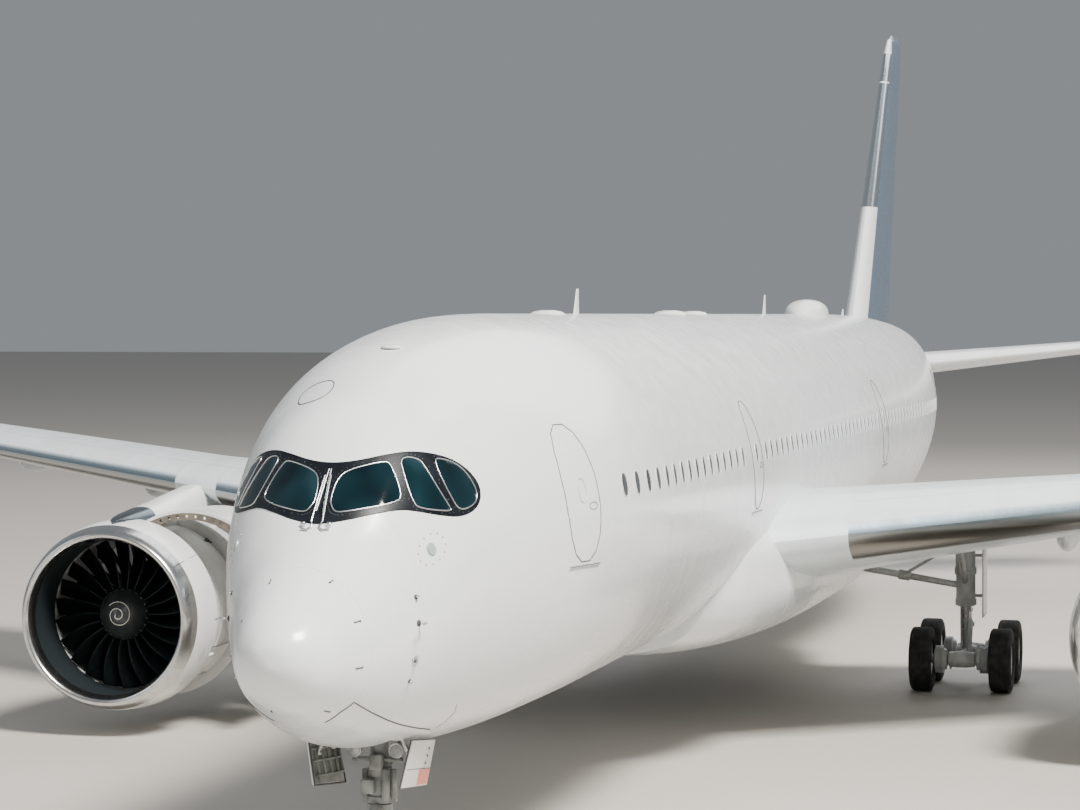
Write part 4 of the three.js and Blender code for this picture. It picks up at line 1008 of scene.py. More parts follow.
# Engine, as profiles of radius and station
engine = {
    "x": 10.2, "z": 2.34, "blades": 22, "root": 0.42, "tip": 1.49, "fanStation": 22.0,
    "barrel": [(1.81, 21.05), (1.85, 21.28), (1.87, 21.5), (1.882, 21.75), (1.885, 21.998)],
    "lip": [(1.81, 21.05), (1.74, 20.8), (1.68, 20.69), (1.62, 20.67), (1.56, 20.74), (1.515, 20.95)],
    "liner": [(1.515, 20.95), (1.5, 21.3), (1.506, 21.6), (1.525, 21.998)],
    "spinner": [(0.015, 21.42), (0.13, 21.465), (0.25, 21.545), (0.36, 21.64), (0.46, 21.745), (0.515, 21.86),
                (0.525, 22.0), (0.52, 22.36)],
    "cowl": [(1.885, 22.014), (1.889, 22.4), (1.89, 22.8), (1.882, 23.4), (1.865, 23.986)],
    "reverser": [(1.865, 24.0), (1.84, 24.3), (1.79, 24.7), (1.73, 25.08), (1.65, 25.45), (1.55, 25.9),
                 (1.43, 26.4)],
    "duct": [(1.405, 26.4), (1.46, 25.8), (1.51, 25.2), (1.53, 24.6), (1.53, 24.0)],
    "trim": [(1.434, 26.38), (1.432, 26.4), (1.428, 26.408), (1.407, 26.408), (1.404, 26.39), (1.41, 26.3),
             (1.45, 26.3)],
    "core": [(0.55, 22.37), (0.72, 22.9), (0.9, 23.6), (0.98, 24.4), (0.94, 25.3), (0.82, 26.3), (0.66, 27.3)],
    "plug": [(0.5, 26.9), (0.5, 27.25), (0.43, 27.48), (0.34, 27.7), (0.2, 28.03), (0.03, 28.4)],
    "edge": 12, "hinge": 1.88, "open": 40, "gap": 0.014,
    "knuckles": [(22.7, 22.84, "cowl"), (22.84, 23.0, "pylon"), (23.0, 23.14, "cowl")], "knuckle": 0.028,
}


def engineRing(name, outside, inside, points=144):
    return lathed(name, engine["x"], engine["z"], outside + inside, points)


def makeInlet():
    barrel = eased(engine["barrel"], 3)
    back = [(radius - 0.05, y) for radius, y in reversed(barrel)]
    finishedPair(engineRing("inlet_barrel_port", barrel, back), cowlPaint, "engine_inlet_port")
    back = [(1.55, 20.98), (1.6, 20.86), (1.7, 20.9), (1.77, 21.06)]
    finishedPair(engineRing("inlet_lip_port", eased(engine["lip"], 6), back), lipMetal)
    liner = eased(engine["liner"], 4)
    back = [(radius + 0.03, y) for radius, y in reversed(liner)]
    finishedPair(engineRing("inlet_liner_port", liner, back), linerShadePaint)


# Turns a piece about a line fore and aft, through x and z in metres of the model
def turnAbout(piece, x, z, degrees):
    angle = math.radians(degrees)
    piece.rotation_euler = (0, angle, 0)
    piece.location = (x - (x * math.cos(angle) + z * math.sin(angle)), 0,
                      z - (z * math.cos(angle) - x * math.sin(angle)))
    return applyPlace(piece)


def aroundEngine(name, first, count, start=0.0):
    axis = place(engine["x"], midLength, engine["z"])
    pieces = [turnAbout(copyOf(first, name), axis.x, axis.z, start + 360 * i / count) for i in range(count)]
    remove(first)
    return joined(name, pieces)


# A place round the engine, by its angle, station and radius
def engineSpot(degrees, y, radius):
    turn = math.radians(degrees)
    return engine["x"] + radius * math.cos(turn), y, engine["z"] + radius * math.sin(turn)


# One wide blade, twisted from root to tip, standing up from the axis
def makeBlade():
    deselectAll()
    bpy.ops.mesh.primitive_grid_add(x_subdivisions=8, y_subdivisions=16, size=1)
    blade = bpy.context.object
    workOn(blade, edit=True)
    mesh = editMesh()
    for vert in mesh.verts:
        u, v = vert.co.x, vert.co.y + 0.5
        radius = engine["root"] + (engine["tip"] - engine["root"]) * v
        pitch = math.radians(28 + 30 * v ** 0.9)
        chord = 0.37 + 0.14 * math.sin(math.pi * min(1, v * 0.8)) * (1 - 0.35 * v)
        along = u * chord - 0.05 * math.sin(math.pi * v) + 0.03 * v
        across = 0.05 * (0.25 - u * u) * (1 - 0.6 * v)
        x = along * math.sin(pitch) + across * math.cos(pitch)
        y = along * math.cos(pitch) - across * math.sin(pitch)
        vert.co = place(engine["x"] + x, engine["fanStation"] + y, engine["z"] + math.sqrt(radius ** 2 - x ** 2))
    bmesh.update_edit_mesh(blade.data)
    bpy.ops.object.mode_set(mode="OBJECT")
    addModifier(blade, "SOLIDIFY", thickness=0.022 * half, offset=0)
    addModifier(blade, "BEVEL", width=0.009 * half, segments=2, limit_method="ANGLE", angle_limit=math.radians(60))
    return smooth(blade, 50)


def spiralOnSpinner(side):
    path = []
    for i in range(90):
        share = i / 89
        radius = 0.03 + 0.245 * share
        angle = side * (-0.4 + 2 * math.pi * 1.95 * share)
        rows = engine["spinner"]
        low, high = next((a, b) for a, b in zip(rows, rows[1:]) if b[0] >= radius)
        station = low[1] + (high[1] - low[1]) * (radius - low[0]) / (high[0] - low[0])
        path.append((engine["x"] + radius * math.cos(angle), station - 0.002,
                     engine["z"] + radius * math.sin(angle)))
    return path


def makeFan():
    blades = aroundEngine("fan_blades_port", makeBlade(), engine["blades"], 4)
    finishedPair(blades, fanShadeMetal, "engine_fan_port", body="fan_port")
    hub = eased(engine["spinner"], 4)
    spinner = lathed("spinner_port", engine["x"], engine["z"], hub + [(0.02, 22.36)], 96)
    finishedPair(spinner, spinnerPaint, body="fan_port")
    spiral = threads("spinner_spiral_port", [spiralOnSpinner(-1)], 0.0085, closed=False)
    finishedPair(spiral, spiralPaint, body="fan_port")
    bolts = turned("bolt", place(engine["x"], 21.79, engine["z"] + 0.49), (0, -0.75, 0.66),
                   [(-0.004, 0.007), (0.003, 0.007), (0.005, 0.004)], 6)
    finishedPair(aroundEngine("spinner_bolts_port", bolts, 22, 0), rivetMetal, body="fan_port")
    print("fans made")


def makeCore():
    core = eased(engine["core"], 3)
    inside = [(0.645, 27.3), (0.72, 26.8), (0.62, 26.2), (0.45, 26.2), (0.45, 22.37)]
    finishedPair(engineRing("core_cowl_port", core, inside, 96), coreMetal, "engine_core_port")
    plug = eased(engine["plug"], 4)
    finishedPair(engineRing("exhaust_plug_port", [(0.02, 26.9)] + plug, [(0.02, 28.4)], 72), hotMetal)
    vane = block("vane", place(engine["x"] - 0.012, 22.95, engine["z"] + 0.62),
                 place(engine["x"] + 0.012, 23.45, engine["z"] + 1.56))
    addModifier(vane, "BEVEL", width=0.004, segments=2)
    workOn(vane, edit=True)
    bpy.ops.mesh.select_all(action="SELECT")
    bpy.ops.transform.rotate(value=math.radians(28), orient_axis="Z",
                             center_override=tuple(place(engine["x"], 23.2, engine["z"] + 1.09)))
    bpy.ops.object.mode_set(mode="OBJECT")
    finishedPair(aroundEngine("guide_vanes_port", vane, 36, 5), fanShadeMetal)
    case = [(1.67, 22.0), (1.67, 22.2)]
    for y in (22.95, 23.7):
        case += [(1.67, y - 0.03), (1.68, y - 0.02), (1.68, y + 0.02), (1.67, y + 0.03)]
    case += [(1.67, 23.9)]
    fanCase = engineRing("fan_case_port", case, [(1.53, 23.9), (1.53, 22.0)], 96)
    finishedPair(fanCase, casePaint)
    paths = [[engineSpot(a, y + 0.03 * math.sin(a / 9), 1.69) for a in range(start, end, 5)]
             for y, start, end in ((22.42, 200, 330), (22.75, 205, 335), (23.15, 215, 325))]
    paths += [[engineSpot(a, 22.3 + 0.16 * i, 1.7) for i in range(10)] for a in (205, 232, 262, 290, 318)]
    finishedPair(threads("case_pipes_port", paths, 0.016, closed=False), trimMetal)
    boxes = []
    for a, y, size in ((215, 22.7, 0.16), (250, 23.2, 0.2), (285, 22.7, 0.18), (312, 23.25, 0.15)):
        box = block("box", (-size * 0.5, -size * 0.6, -0.02), (size * 0.5, size * 0.6, 0.02))
        addModifier(box, "BEVEL", width=0.006, segments=2)
        box.rotation_euler = (0, math.radians(90) - math.radians(a), 0)
        box.location = place(*Vector(engineSpot(a, y, 1.7)))
        boxes.append(applyPlace(box))
    finishedPair(joined("case_boxes_port", boxes), casePaint, slot="fan_metal")
    print("cores made")


def makeReverser():
    skin = engineRing("reverser_skin_port", eased(engine["reverser"], 3), eased(engine["duct"], 2))
    finishedPair(skin, cowlPaint, "thrust_reverser_port")
    finishedPair(engineRing("nozzle_trim_port", engine["trim"], []), lipMetal)
    print("reversers made")


def cowlHinge(inboard):
    turn, sign = math.radians(engine["edge"]), -1 if inboard else 1
    return engine["x"] + sign * engine["hinge"] * math.sin(turn), engine["z"] + engine["hinge"] * math.cos(turn)


def cowlWedge(inboard):
    turn, sign, reach = math.radians(engine["edge"]), -1 if inboard else 1, 3.0
    corners = [(engine["gap"], -reach), (engine["gap"], 0), (reach * math.sin(turn), reach * math.cos(turn)),
               (reach, reach * math.cos(turn)), (reach, -reach)]
    return prism("wedge", [(engine["x"] + sign * x, 21, engine["z"] + z) for x, z in corners], (0, 4, 0))


# The share of an engine ring that one cowl has
def cowlPart(name, profile, inboard, points=144):
    return cut(engineRing(name, profile, [], points), cowlWedge(inboard), operation="INTERSECT")


# Each cowl is built closed on the port engine; the starboard inboard one is then opened, and both go across
def makeCowls():
    back = [(1.84, 23.97), (1.83, 23.4), (1.835, 22.8), (1.83, 22.4), (1.828, 22.02)]
    flange = [(1.845, 22.02), (1.845, 22.05), (1.69, 22.05), (1.69, 22.02)]
    rib = [(1.835, 22.5), (1.8, 22.505), (1.8, 22.54), (1.835, 22.545)]
    hole = turned("hole", place(engine["x"], 22.03, engine["z"] + 1.76), (0, 1, 0),
                  [(-0.03, 0.015), (0.03, 0.015)], 16)
    holes = aroundEngine("holes", hole, 60, 3)
    for word in ("inboard", "outboard"):
        inboard = word == "inboard"
        x, z = cowlHinge(inboard)
        for side, sideWord in sides:
            name = "fan_cowl_" + word + "_" + sideWord
            panel = cowlPart(name + "_skin", eased(engine["cowl"], 3) + back, inboard)
            rows = [cut(cowlPart("front", flange, inboard), holes, keep=True)]
            for y in (22.0, 22.45, 22.9, 23.35):
                rows.append(cowlPart("rib", [(radius, station + y - 22.0) for radius, station in rib], inboard, 96))
            knuckles = [rod("knuckle", (x, low + 0.002, z), (x, high - 0.002, z), engine["knuckle"])
                        for low, high, owner in engine["knuckles"] if owner == "cowl"]
            pieces = [(panel, cowlPaint, [name]), (joined(name + "_frames", rows), framePaint, []),
                      (joined(name + "_knuckles", knuckles), wheelMetal, [])]
            for piece, material, nodes in pieces:
                if side < 0 and inboard:
                    turnAbout(piece, x * half, z * half, engine["open"])
                if side < 0:
                    piece = flipped(piece)
                finished(piece, material, *nodes, body=name, degrees=35)
    remove(holes)
    print("cowls made")


pylon = {
    "rows": [(21.3, 0.05, 4.1, 4.225), (21.45, 0.15, 4.05, 4.26), (21.7, 0.22, 4.0, 4.3), (22.0, 0.27, 3.93, 4.335),
             (22.4, 0.3, 3.8, 4.37), (22.8, 0.33, 3.7, 4.405), (23.4, 0.35, 3.4, 4.46), (24.1, 0.36, 3.0, 4.535),
             (24.8, 0.36, 2.97, 4.61), (25.6, 0.36, 2.95, 4.69), (27.2, 0.34, 2.9, 4.66), (29, 0.24, 3.35, 4.6),
             (30.2, 0.14, 3.75, 4.5), (31, 0.06, 3.95, 4.4)],
    "power": 0.72, "points": 48, "capEnd": 22.8,
}


# A ring between an ellipse and its box, as pairs from -1 to 1
def fullRing(points, power):
    return [[math.copysign(abs(value) ** power, value) for value in (math.cos(a), math.sin(a))]
            for a in circle(points, 0.5)]


def pylonRing(y, wide, low, high):
    return [(engine["x"] + wide * across, y, (low + high) / 2 + (high - low) / 2 * up)
            for across, up in fullRing(pylon["points"], pylon["power"])]


def makePylon():
    rows = pylon["rows"]
    cap = lofted("pylon_cap_port", [pylonRing(*row) for row in rows if row[0] <= pylon["capEnd"]])
    finishedPair(cap, skyReflectionMetal)
    back = [row for row in rows if row[0] > pylon["capEnd"]]
    joint = list(next(row for row in rows if row[0] == pylon["capEnd"]))
    joint[0] += 0.004
    skin = lofted("pylon_skin_port", [pylonRing(*row) for row in [joint] + back])
    finishedPair(skin, cowlPaint, "pylon_port")
    arms = []
    for inboard in (True, False):
        x, z = cowlHinge(inboard)
        arms.append(rod("arm", (engine["x"], 22.92, z), (x, 22.92, z), 0.02))
        arms.append(rod("knuckle", (x, 22.842, z), (x, 22.998, z), engine["knuckle"]))
    finishedPair(joined("cowl_hinge_arms_port", arms), wheelMetal)
    print("pylons made")


# Small vents and posts on the nacelle, by their angle round it and their station
nacelleFittings = {
    "vents": [(91, 21.26, 5.0, 0.34, 1.835), (127.4, 23.87, 3.6, 0.4, 1.671)],
    "posts": [(112, 25.6, 0.3, 0.045), (104, 25.5, 0.14, 0.03), (94, 23.2, 0.05, 0.03)],
    "line": [(143.7, 20.8), (142.8, 21.2), (141.8, 21.6), (141, 21.96)],
}


def onNacelle(degrees, station, lift=0.0, radius=None):
    table = engine["barrel"] + engine["cowl"] + engine["reverser"]
    low = max((row for row in table if row[1] <= station), key=lambda row: row[1], default=table[0])
    high = min((row for row in table if row[1] > station), key=lambda row: row[1])
    share = (station - low[1]) / max(0.001, high[1] - low[1])
    radius = (radius or low[0] + (high[0] - low[0]) * share) + lift
    return Vector(engineSpot(degrees, station, radius))


def makeNacelleFittings():
    vents = []
    for degrees, station, wide, long, radius in nacelleFittings["vents"]:
        corners = [Vector((degrees - wide, station + long / 2)), Vector((degrees + wide, station + long / 2)),
                   Vector((degrees, station - long / 2))]
        outline = [onNacelle(a, y, -0.03, None if radius > 1.7 else radius) for a, y in refined(corners, 1.0)]
        out = (onNacelle(degrees, station) - onNacelle(degrees, station, -1)).normalized()
        vents.append(prism("vent", outline, out * 0.04))
    finishedPair(joined("nacelle_vents_port", vents), jointPaint)
    posts = []
    for degrees, station, tall, radius in nacelleFittings["posts"]:
        foot, head = onNacelle(degrees, station, -0.03), onNacelle(degrees, station, tall)
        posts.append(rod("post", foot, head, radius, 16, 0.4))
    finishedPair(joined("nacelle_posts_port", posts), cowlPaint)
    seam = threads("inlet_seam_port", [[onNacelle(a, y) for a, y in nacelleFittings["line"]]], 0.006, closed=False)
    finishedPair(seam, jointPaint)


makeInlet()
makeFan()
makeCore()
makeReverser()
makeCowls()
makePylon()
makeNacelleFittings()


# Wing rows: x, leading edge y and z, chord, thickness, twist and cant
wing = {
    "rows": [(1.9, 20.24, 3.94, 14.66, 0.13, 3.6, 0), (10.9, 26.54, 4.71, 8.36, 0.112, 2.2, 5),
             (21, 33.61, 5.56, 5.3, 0.102, 0.8, 5), (27.6, 38.23, 6.12, 3.3, 0.098, 0, 6),
             (29.4, 39.6, 6.42, 2.75, 0.095, 0, 20), (30.6, 40.75, 6.95, 2.3, 0.092, 0, 33),
             (31.4, 41.9, 7.6, 1.85, 0.09, 0, 45), (31.95, 43.2, 8.25, 1.4, 0.09, 0, 55),
             (32.375, 44.9, 8.9, 0.75, 0.09, 0, 62)],
    "steps": 22, "clearance": 0.014,
    "panels": [
        {"name": "inboard_flap", "from": 3.75, "to": 10.35, "share": (0.885, 0.79), "drop": 0.42, "reach": 3.2},
        {"name": "outboard_flap", "from": 11.75, "to": 22.6, "share": (0.775, 0.765), "drop": 0.34, "reach": 3.2},
        {"name": "aileron", "from": 23.5, "to": 27.7, "share": (0.77, 0.77), "drop": 0, "reach": 2.2},
    ],
    "housings": [
        {"x": 7.6, "half": 0.25, "depth": 0.72, "ahead": 2.6, "astern": 0.9, "tongue": True},
        {"x": 13.4, "half": 0.25, "depth": 0.66, "ahead": 2.5, "astern": 1.0, "tongue": False},
        {"x": 17.3, "half": 0.23, "depth": 0.58, "ahead": 2.3, "astern": 0.9, "tongue": True},
        {"x": 21.2, "half": 0.2, "depth": 0.5, "ahead": 2.1, "astern": 0.8, "tongue": False},
    ],
    "tongue": {"half": 0.05, "tall": 0.09, "ahead": 0.45},
}
tailplane = {
    "rows": [(0.9, 56.6, 6.75, 6.9, 0.1, 0, 0), (9.1, 62.3, 7.55, 2.6, 0.09, 0, 5),
             (9.36, 62.75, 7.58, 2.1, 0.06, 0, 5)],
    "from": 1.3, "to": 8.8, "share": 0.7, "inner": 1.75, "gap": 0.038,
}
finRows = [(7.2, 52.7, 9.05, 0.1), (8.3, 53.95, 8.2, 0.1), (16.35, 61.5, 3.75, 0.095), (16.85, 62.15, 3.2, 0.08),
           (17.05, 62.85, 2.45, 0.04)]
rudder = {"from": 7.9, "to": 16.1, "share": 0.69, "lower": 8.32, "gap": 0.085}


def halfThickness(t):
    return 5 * (0.2969 * math.sqrt(t) - 0.126 * t - 0.3516 * t ** 2 + 0.2843 * t ** 3 - 0.1016 * t ** 4)


def camber(t):
    return 0.06 * t * (1 - t) ** 2 + 0.05 * t ** 3 * (1 - t)


def rowAt(rows, x):
    i = next((k for k in range(1, len(rows)) if rows[k][0] >= x), len(rows) - 1)
    low, high = rows[i - 1], rows[i]
    t = (x - low[0]) / (high[0] - low[0])
    return tuple(a + (b - a) * t for a, b in zip(low, high))


def chordPoint(row, along, up):
    x, y, z, chord, thickness, twist, cant = row
    turn, lean = math.radians(twist), math.radians(cant)
    aft = chord * (along * math.cos(turn) + up * math.sin(turn))
    rise = chord * (up * math.cos(turn) - along * math.sin(turn))
    return Vector((x - rise * math.sin(lean), y + aft, z + rise * math.cos(lean)))


def lowerSkin(x, share):
    row = rowAt(wing["rows"], x)
    return chordPoint(row, share, camber(share) - row[4] * halfThickness(share))


# Points round a section, from the tail over the top to the nose and back below; spot() places each
def sectionRing(spot, thickness, bend):
    shares = [(1 - math.cos(math.pi * i / wing["steps"])) / 2 for i in range(wing["steps"] + 1)]
    rows = [(t, 1) for t in reversed(shares)] + [(t, -1) for t in shares[1:]]
    return [spot(t, bend * camber(t) + side * (thickness * halfThickness(t) + 0.0008 * t)) for t, side in rows]


def wingSurface(name, rows, bend, extra):
    rows = [rowAt(rows, x) for x in sorted({row[0] for row in rows} | set(extra))]
    return lofted(name, [sectionRing(lambda t, up, row=row: chordPoint(row, t, up), row[4], bend) for row in rows])


# The directions of a hinge line: along it, aft and up
def hingeAxes(start, end):
    axis = (end - start).normalized()
    aft = (Vector((0, 1, 0)) - axis * axis.y).normalized()
    return axis, aft, axis.cross(aft)


# The space of a hinged panel: all that is aft of its hinge line, with a round nose on it
def hingeSpace(name, start, end, radius, reach, tall, grow):
    axis, aft, up = hingeAxes(start, end)
    nose = radius + grow
    first = math.acos(-grow / nose)
    outline = [(reach, -tall), (reach, tall), (-grow, tall)]
    for i in range(15):
        angle = first + (2 * math.pi - 2 * first) * i / 14
        outline.append((nose * math.cos(angle), nose * math.sin(angle)))
    outline.append((-grow, -tall))
    base = start - axis * grow
    return prism(name, [base + aft * u + up * v for u, v in outline], axis * ((end - start).length + 2 * grow))


def panelHinge(panel):
    ends = []
    for x, share in ((panel["from"], panel["share"][0]), (panel["to"], panel["share"][1])):
        if panel["drop"]:
            ends.append(lowerSkin(x, share) - Vector((0, 0, panel["drop"])))
        else:
            ends.append(chordPoint(rowAt(wing["rows"], x), share, camber(share)))
    return ends


def panelSpace(panel, grow):
    start, end = panelHinge(panel)
    row = rowAt(wing["rows"], panel["from"])
    radius = 0.25 if panel["drop"] else 1.04 * row[3] * row[4] * halfThickness(panel["share"][0])
    return hingeSpace("space", start, end, radius, panel["reach"], 1.6 if panel["drop"] else 0.8, grow)


def flapOver(x):
    return next(panel for panel in wing["panels"] if panel["from"] < x < panel["to"])


# A flat plate across a flap's hinge line at one housing
def hingePlate(name, housing, wide, ahead, behind, below, above):
    start, end = panelHinge(flapOver(housing["x"]))
    axis, aft, up = hingeAxes(start, end)
    middle = start + (end - start) * ((housing["x"] - start.x) / (end.x - start.x)) - axis * wide
    outline = [(-ahead, -below), (behind, -below), (behind, above), (-ahead, above)]
    return prism(name, [middle + aft * u + up * v for u, v in outline], axis * 2 * wide)


def trackHousing(housing):
    start, end = panelHinge(flapOver(housing["x"]))
    hinge = start.lerp(end, (housing["x"] - start.x) / (end.x - start.x))
    row = rowAt(wing["rows"], housing["x"])
    first = hinge.y - housing["ahead"]
    last = chordPoint(row, 1, 0).y + housing["astern"]
    rings = []
    for s in range(25):
        u = s / 24
        y = first + (last - first) * u
        full = max(0.08, math.sin(math.pi * min(u, 0.999) ** 0.8)) ** 0.7
        share = min(0.99, max(0.1, (y - row[1]) / row[3]))
        centre = lowerSkin(housing["x"], share).z - 0.15 - (housing["depth"] - 0.35) * 0.5 * full + 0.12 * u
        rings.append([Vector((housing["x"] + housing["half"] * full * math.cos(a), y,
                              centre + housing["depth"] * 0.55 * full * math.sin(a))) for a in circle(24, 0.5)])
    return lofted("housing", rings)


def makeWings():
    extra = spread(1.9, 27.6, 18) + spread(27.6, 32.375, 18)
    whole = wingSurface("wing_skin_port", wing["rows"], 1, extra)
    for housing in wing["housings"]:
        cut(whole, trackHousing(housing), operation="UNION")
    slots = []
    size = wing["tongue"]
    for housing in wing["housings"]:
        if housing["tongue"]:
            slots.append(hingePlate("slot", housing, size["half"] + 0.0008, size["ahead"],
                                    size["tall"] + wing["clearance"], 0.5, 0.3))
    for panel in wing["panels"]:
        piece = copyOf(whole, panel["name"] + "_skin_port")
        cut(piece, panelSpace(panel, 0), operation="INTERSECT")
        if panel["drop"]:
            cut(piece, *slots, keep=True)
        body = panel["name"] + "_port"
        finishedPair(smooth(piece), wingPaint, body, body=body)
    for panel in wing["panels"]:
        cut(whole, panelSpace(panel, wing["clearance"]))
    remove(*slots)
    finishedPair(smooth(whole), wingPaint, "wing_port")
    tongues = [hingePlate("tongue", housing, size["half"], size["ahead"], 0, size["tall"], size["tall"])
               for housing in wing["housings"] if housing["tongue"]]
    finishedPair(joined("flap_hinge_plates_port", tongues), wheelMetal)
    inner, outer = panelHinge(wing["panels"][2])
    along = (outer - inner).normalized()
    bosses = [rod("boss", inner - along * 0.05, inner - along * 0.001, 0.035),
              rod("boss", outer + along * 0.001, outer + along * 0.05, 0.025)]
    finishedPair(joined("aileron_bosses_port", bosses), wheelMetal)
    print("wings made")


# Outlines of the spoilers and a row of access plates on the wing
wingLines = {
    "spoilers": [(4.3, 6.9), (7.0, 9.6), (12.3, 14.3), (14.35, 16.3), (16.35, 18.3), (18.35, 20.3), (20.35, 22.2)],
    "ahead": 0.64, "inset": 0.012, "plates": 14, "plateSize": (0.2, 0.34),
}


def onWing(x, share, side, lift=0.0015):
    row = rowAt(wing["rows"], x)
    proud = 0.0008 * share + lift / row[3]
    return chordPoint(row, share, camber(share) + side * (row[4] * halfThickness(share) + proud))


# The rear edge of a spoiler, a little ahead of the flap behind it
def spoilerEnd(x):
    panel = next((each for each in wing["panels"] if each["from"] <= x <= each["to"]), wing["panels"][0])
    t = (x - panel["from"]) / (panel["to"] - panel["from"])
    return panel["share"][0] + (panel["share"][1] - panel["share"][0]) * t - 0.035


def makeWingLines():
    paths = []
    for first, last in wingLines["spoilers"]:
        front = [(x, wingLines["ahead"]) for x in spread(first, last, 8)]
        back = [(x, spoilerEnd(x)) for x, share in reversed(front)]
        paths.append([onWing(x, share, 1, 0.0) for x, share in front + back])
    finishedPair(threads("spoiler_lines_port", paths, 0.009, rounds=1), jointPaint)
    plates = []
    wide, long = wingLines["plateSize"]
    for i in range(wingLines["plates"]):
        x = 4.4 + 1.35 * i
        if all(abs(x - housing["x"]) > 0.5 for housing in wing["housings"]) and abs(x - engine["x"]) > 0.9:
            chord = rowAt(wing["rows"], x)[3]
            plates.append([onWing(x + wide * math.cos(a), 0.38 + long / chord * math.sin(a), -1, 0.0)
                           for a in circle(20)])
    finishedPair(threads("tank_plate_lines_port", plates, 0.008, rounds=1), jointPaint)


def elevatorSpace(start, end, radius, grow, gap):
    piece = hingeSpace("space", start, end, radius, 3, 0.8, grow)
    return cut(piece, block("inner", place(tailplane["inner"] - gap, 50, 3), place(15, 70, 12)),
               operation="INTERSECT")


def makeTailplane():
    rows = tailplane["rows"]
    whole = wingSurface("tailplane_skin_port", rows, 0, spread(0.9, 9.1, 10))
    start, end = (chordPoint(rowAt(rows, x), tailplane["share"], 0) for x in (tailplane["from"], tailplane["to"]))
    root = rowAt(rows, tailplane["inner"])
    radius = 1.04 * root[3] * root[4] * halfThickness(tailplane["share"])
    moving = copyOf(whole, "elevator_skin_port")
    cut(moving, elevatorSpace(start, end, radius, 0, 0), operation="INTERSECT")
    cut(whole, elevatorSpace(start, end, radius, wing["clearance"], tailplane["gap"]))
    finishedPair(smooth(moving), tailWhite, "elevator_port", body="elevator_port")
    finishedPair(smooth(whole), tailWhite, "tailplane_port")
    print("tailplane made")


def rudderSpace(start, end, radius, grow, gap):
    piece = hingeSpace("space", start, end, radius, 4, 1.2, grow)
    return cut(piece, block("lower", place(-2, 50, rudder["lower"] - gap), place(2, 72, 20)),
               operation="INTERSECT")


def makeFin():
    rings = []
    for z in sorted({row[0] for row in finRows} | set(spread(7.2, 16.35, 16)) | set(spread(16.35, 17.05, 8))):
        row = rowAt(finRows, z)
        rings.append(sectionRing(lambda t, up, row=row: Vector((row[2] * up, row[1] + row[2] * t, row[0])),
                                 row[3], 0))
    whole = lofted("fin_skin", rings)
    hinge = []
    for z in (rudder["from"], rudder["to"]):
        row = rowAt(finRows, z)
        hinge.append(Vector((0, row[1] + row[2] * rudder["share"], z)))
    low = rowAt(finRows, rudder["lower"])
    radius = 1.04 * low[2] * low[3] * halfThickness(rudder["share"])
    moving = copyOf(whole, "rudder_skin")
    cut(moving, rudderSpace(*hinge, radius, 0, 0), operation="INTERSECT")
    cut(whole, rudderSpace(*hinge, radius, wing["clearance"], rudder["gap"]))
    finished(moving, tailPaint, "rudder", body="rudder", degrees=35)
    finished(whole, tailPaint, "fin", degrees=35)
    print("fin made")


fairing = {
    "rows": [(18.2, 2.2, 3.6, 2.15), (19.5, 2.75, 3.5, 2.02), (21.5, 3.1, 3.4, 1.92), (24.5, 3.3, 3.3, 1.88),
             (31.5, 3.3, 3.2, 1.88), (34.5, 3.15, 3.2, 1.92), (37, 2.8, 3.4, 2.02), (39.2, 2.2, 3.6, 2.15)],
    "points": 72, "power": 0.75, "above": 1.5,
}


def makeFairing():
    xs = [row[0] for row in fairing["rows"]]
    rings = []
    for y in spread(18.2, 39.2, 40):
        wide, middle, bottom = (smoothValue(xs, [row[k] for row in fairing["rows"]], y) for k in (1, 2, 3))
        rings.append([(wide * across, y, middle + (fairing["above"] if up > 0 else middle - bottom) * up)
                      for across, up in fullRing(fairing["points"], fairing["power"])])
    finished(lofted("belly_skin", rings), hullPaint, "belly_fairing", degrees=35)
    print("fairing made")


makeWings()
makeWingLines()
makeTailplane()
makeFin()
makeFairing()


# Landing gear: places of the axles, and the sizes of wheels and tyres
gear = {
    "nose": {"x": 0, "y": 4.75, "radius": 0.525, "width": 0.36, "twin": 0.71, "axle": 0.06, "bolts": 10},
    "main": {"x": 5.3, "y": 33.4, "radius": 0.7, "width": 0.5, "twin": 1.73, "axle": 0.1, "bolts": 14},
    "rim": 0.58, "spacing": 2.04,
}


# A round piece across the aircraft; the profile is (across, radius) in full-size metres
def crossTurned(name, x, y, z, profile, points=64, closed=False, degrees=35):
    return turned(name, place(x, y, z), (1, 0, 0), halved(profile), points, closed, degrees)


def makeTyre(name, x, y, size):
    radius, wide, rim = size["radius"], size["width"] / 2, size["radius"] * gear["rim"]
    deep = radius * 0.02
    profile = [(-wide * 0.72, rim), (-wide * 0.86, rim + 0.02), (-wide * 0.97, rim + (radius - rim) * 0.32),
               (-wide, rim + (radius - rim) * 0.5), (-wide * 0.96, rim + (radius - rim) * 0.74),
               (-wide * 0.85, radius - 0.022), (-wide * 0.72, radius - 0.006)]
    for share in (-0.5, -0.17, 0.17, 0.5):
        groove = wide * 0.045
        middle = wide * share
        profile += [(middle - groove, radius), (middle - groove, radius - deep), (middle + groove, radius - deep),
                    (middle + groove, radius)]
    profile += [(-across, high) for across, high in reversed(profile[:7])]
    return crossTurned(name, x, y, size["radius"], profile, 72, closed=True, degrees=40)


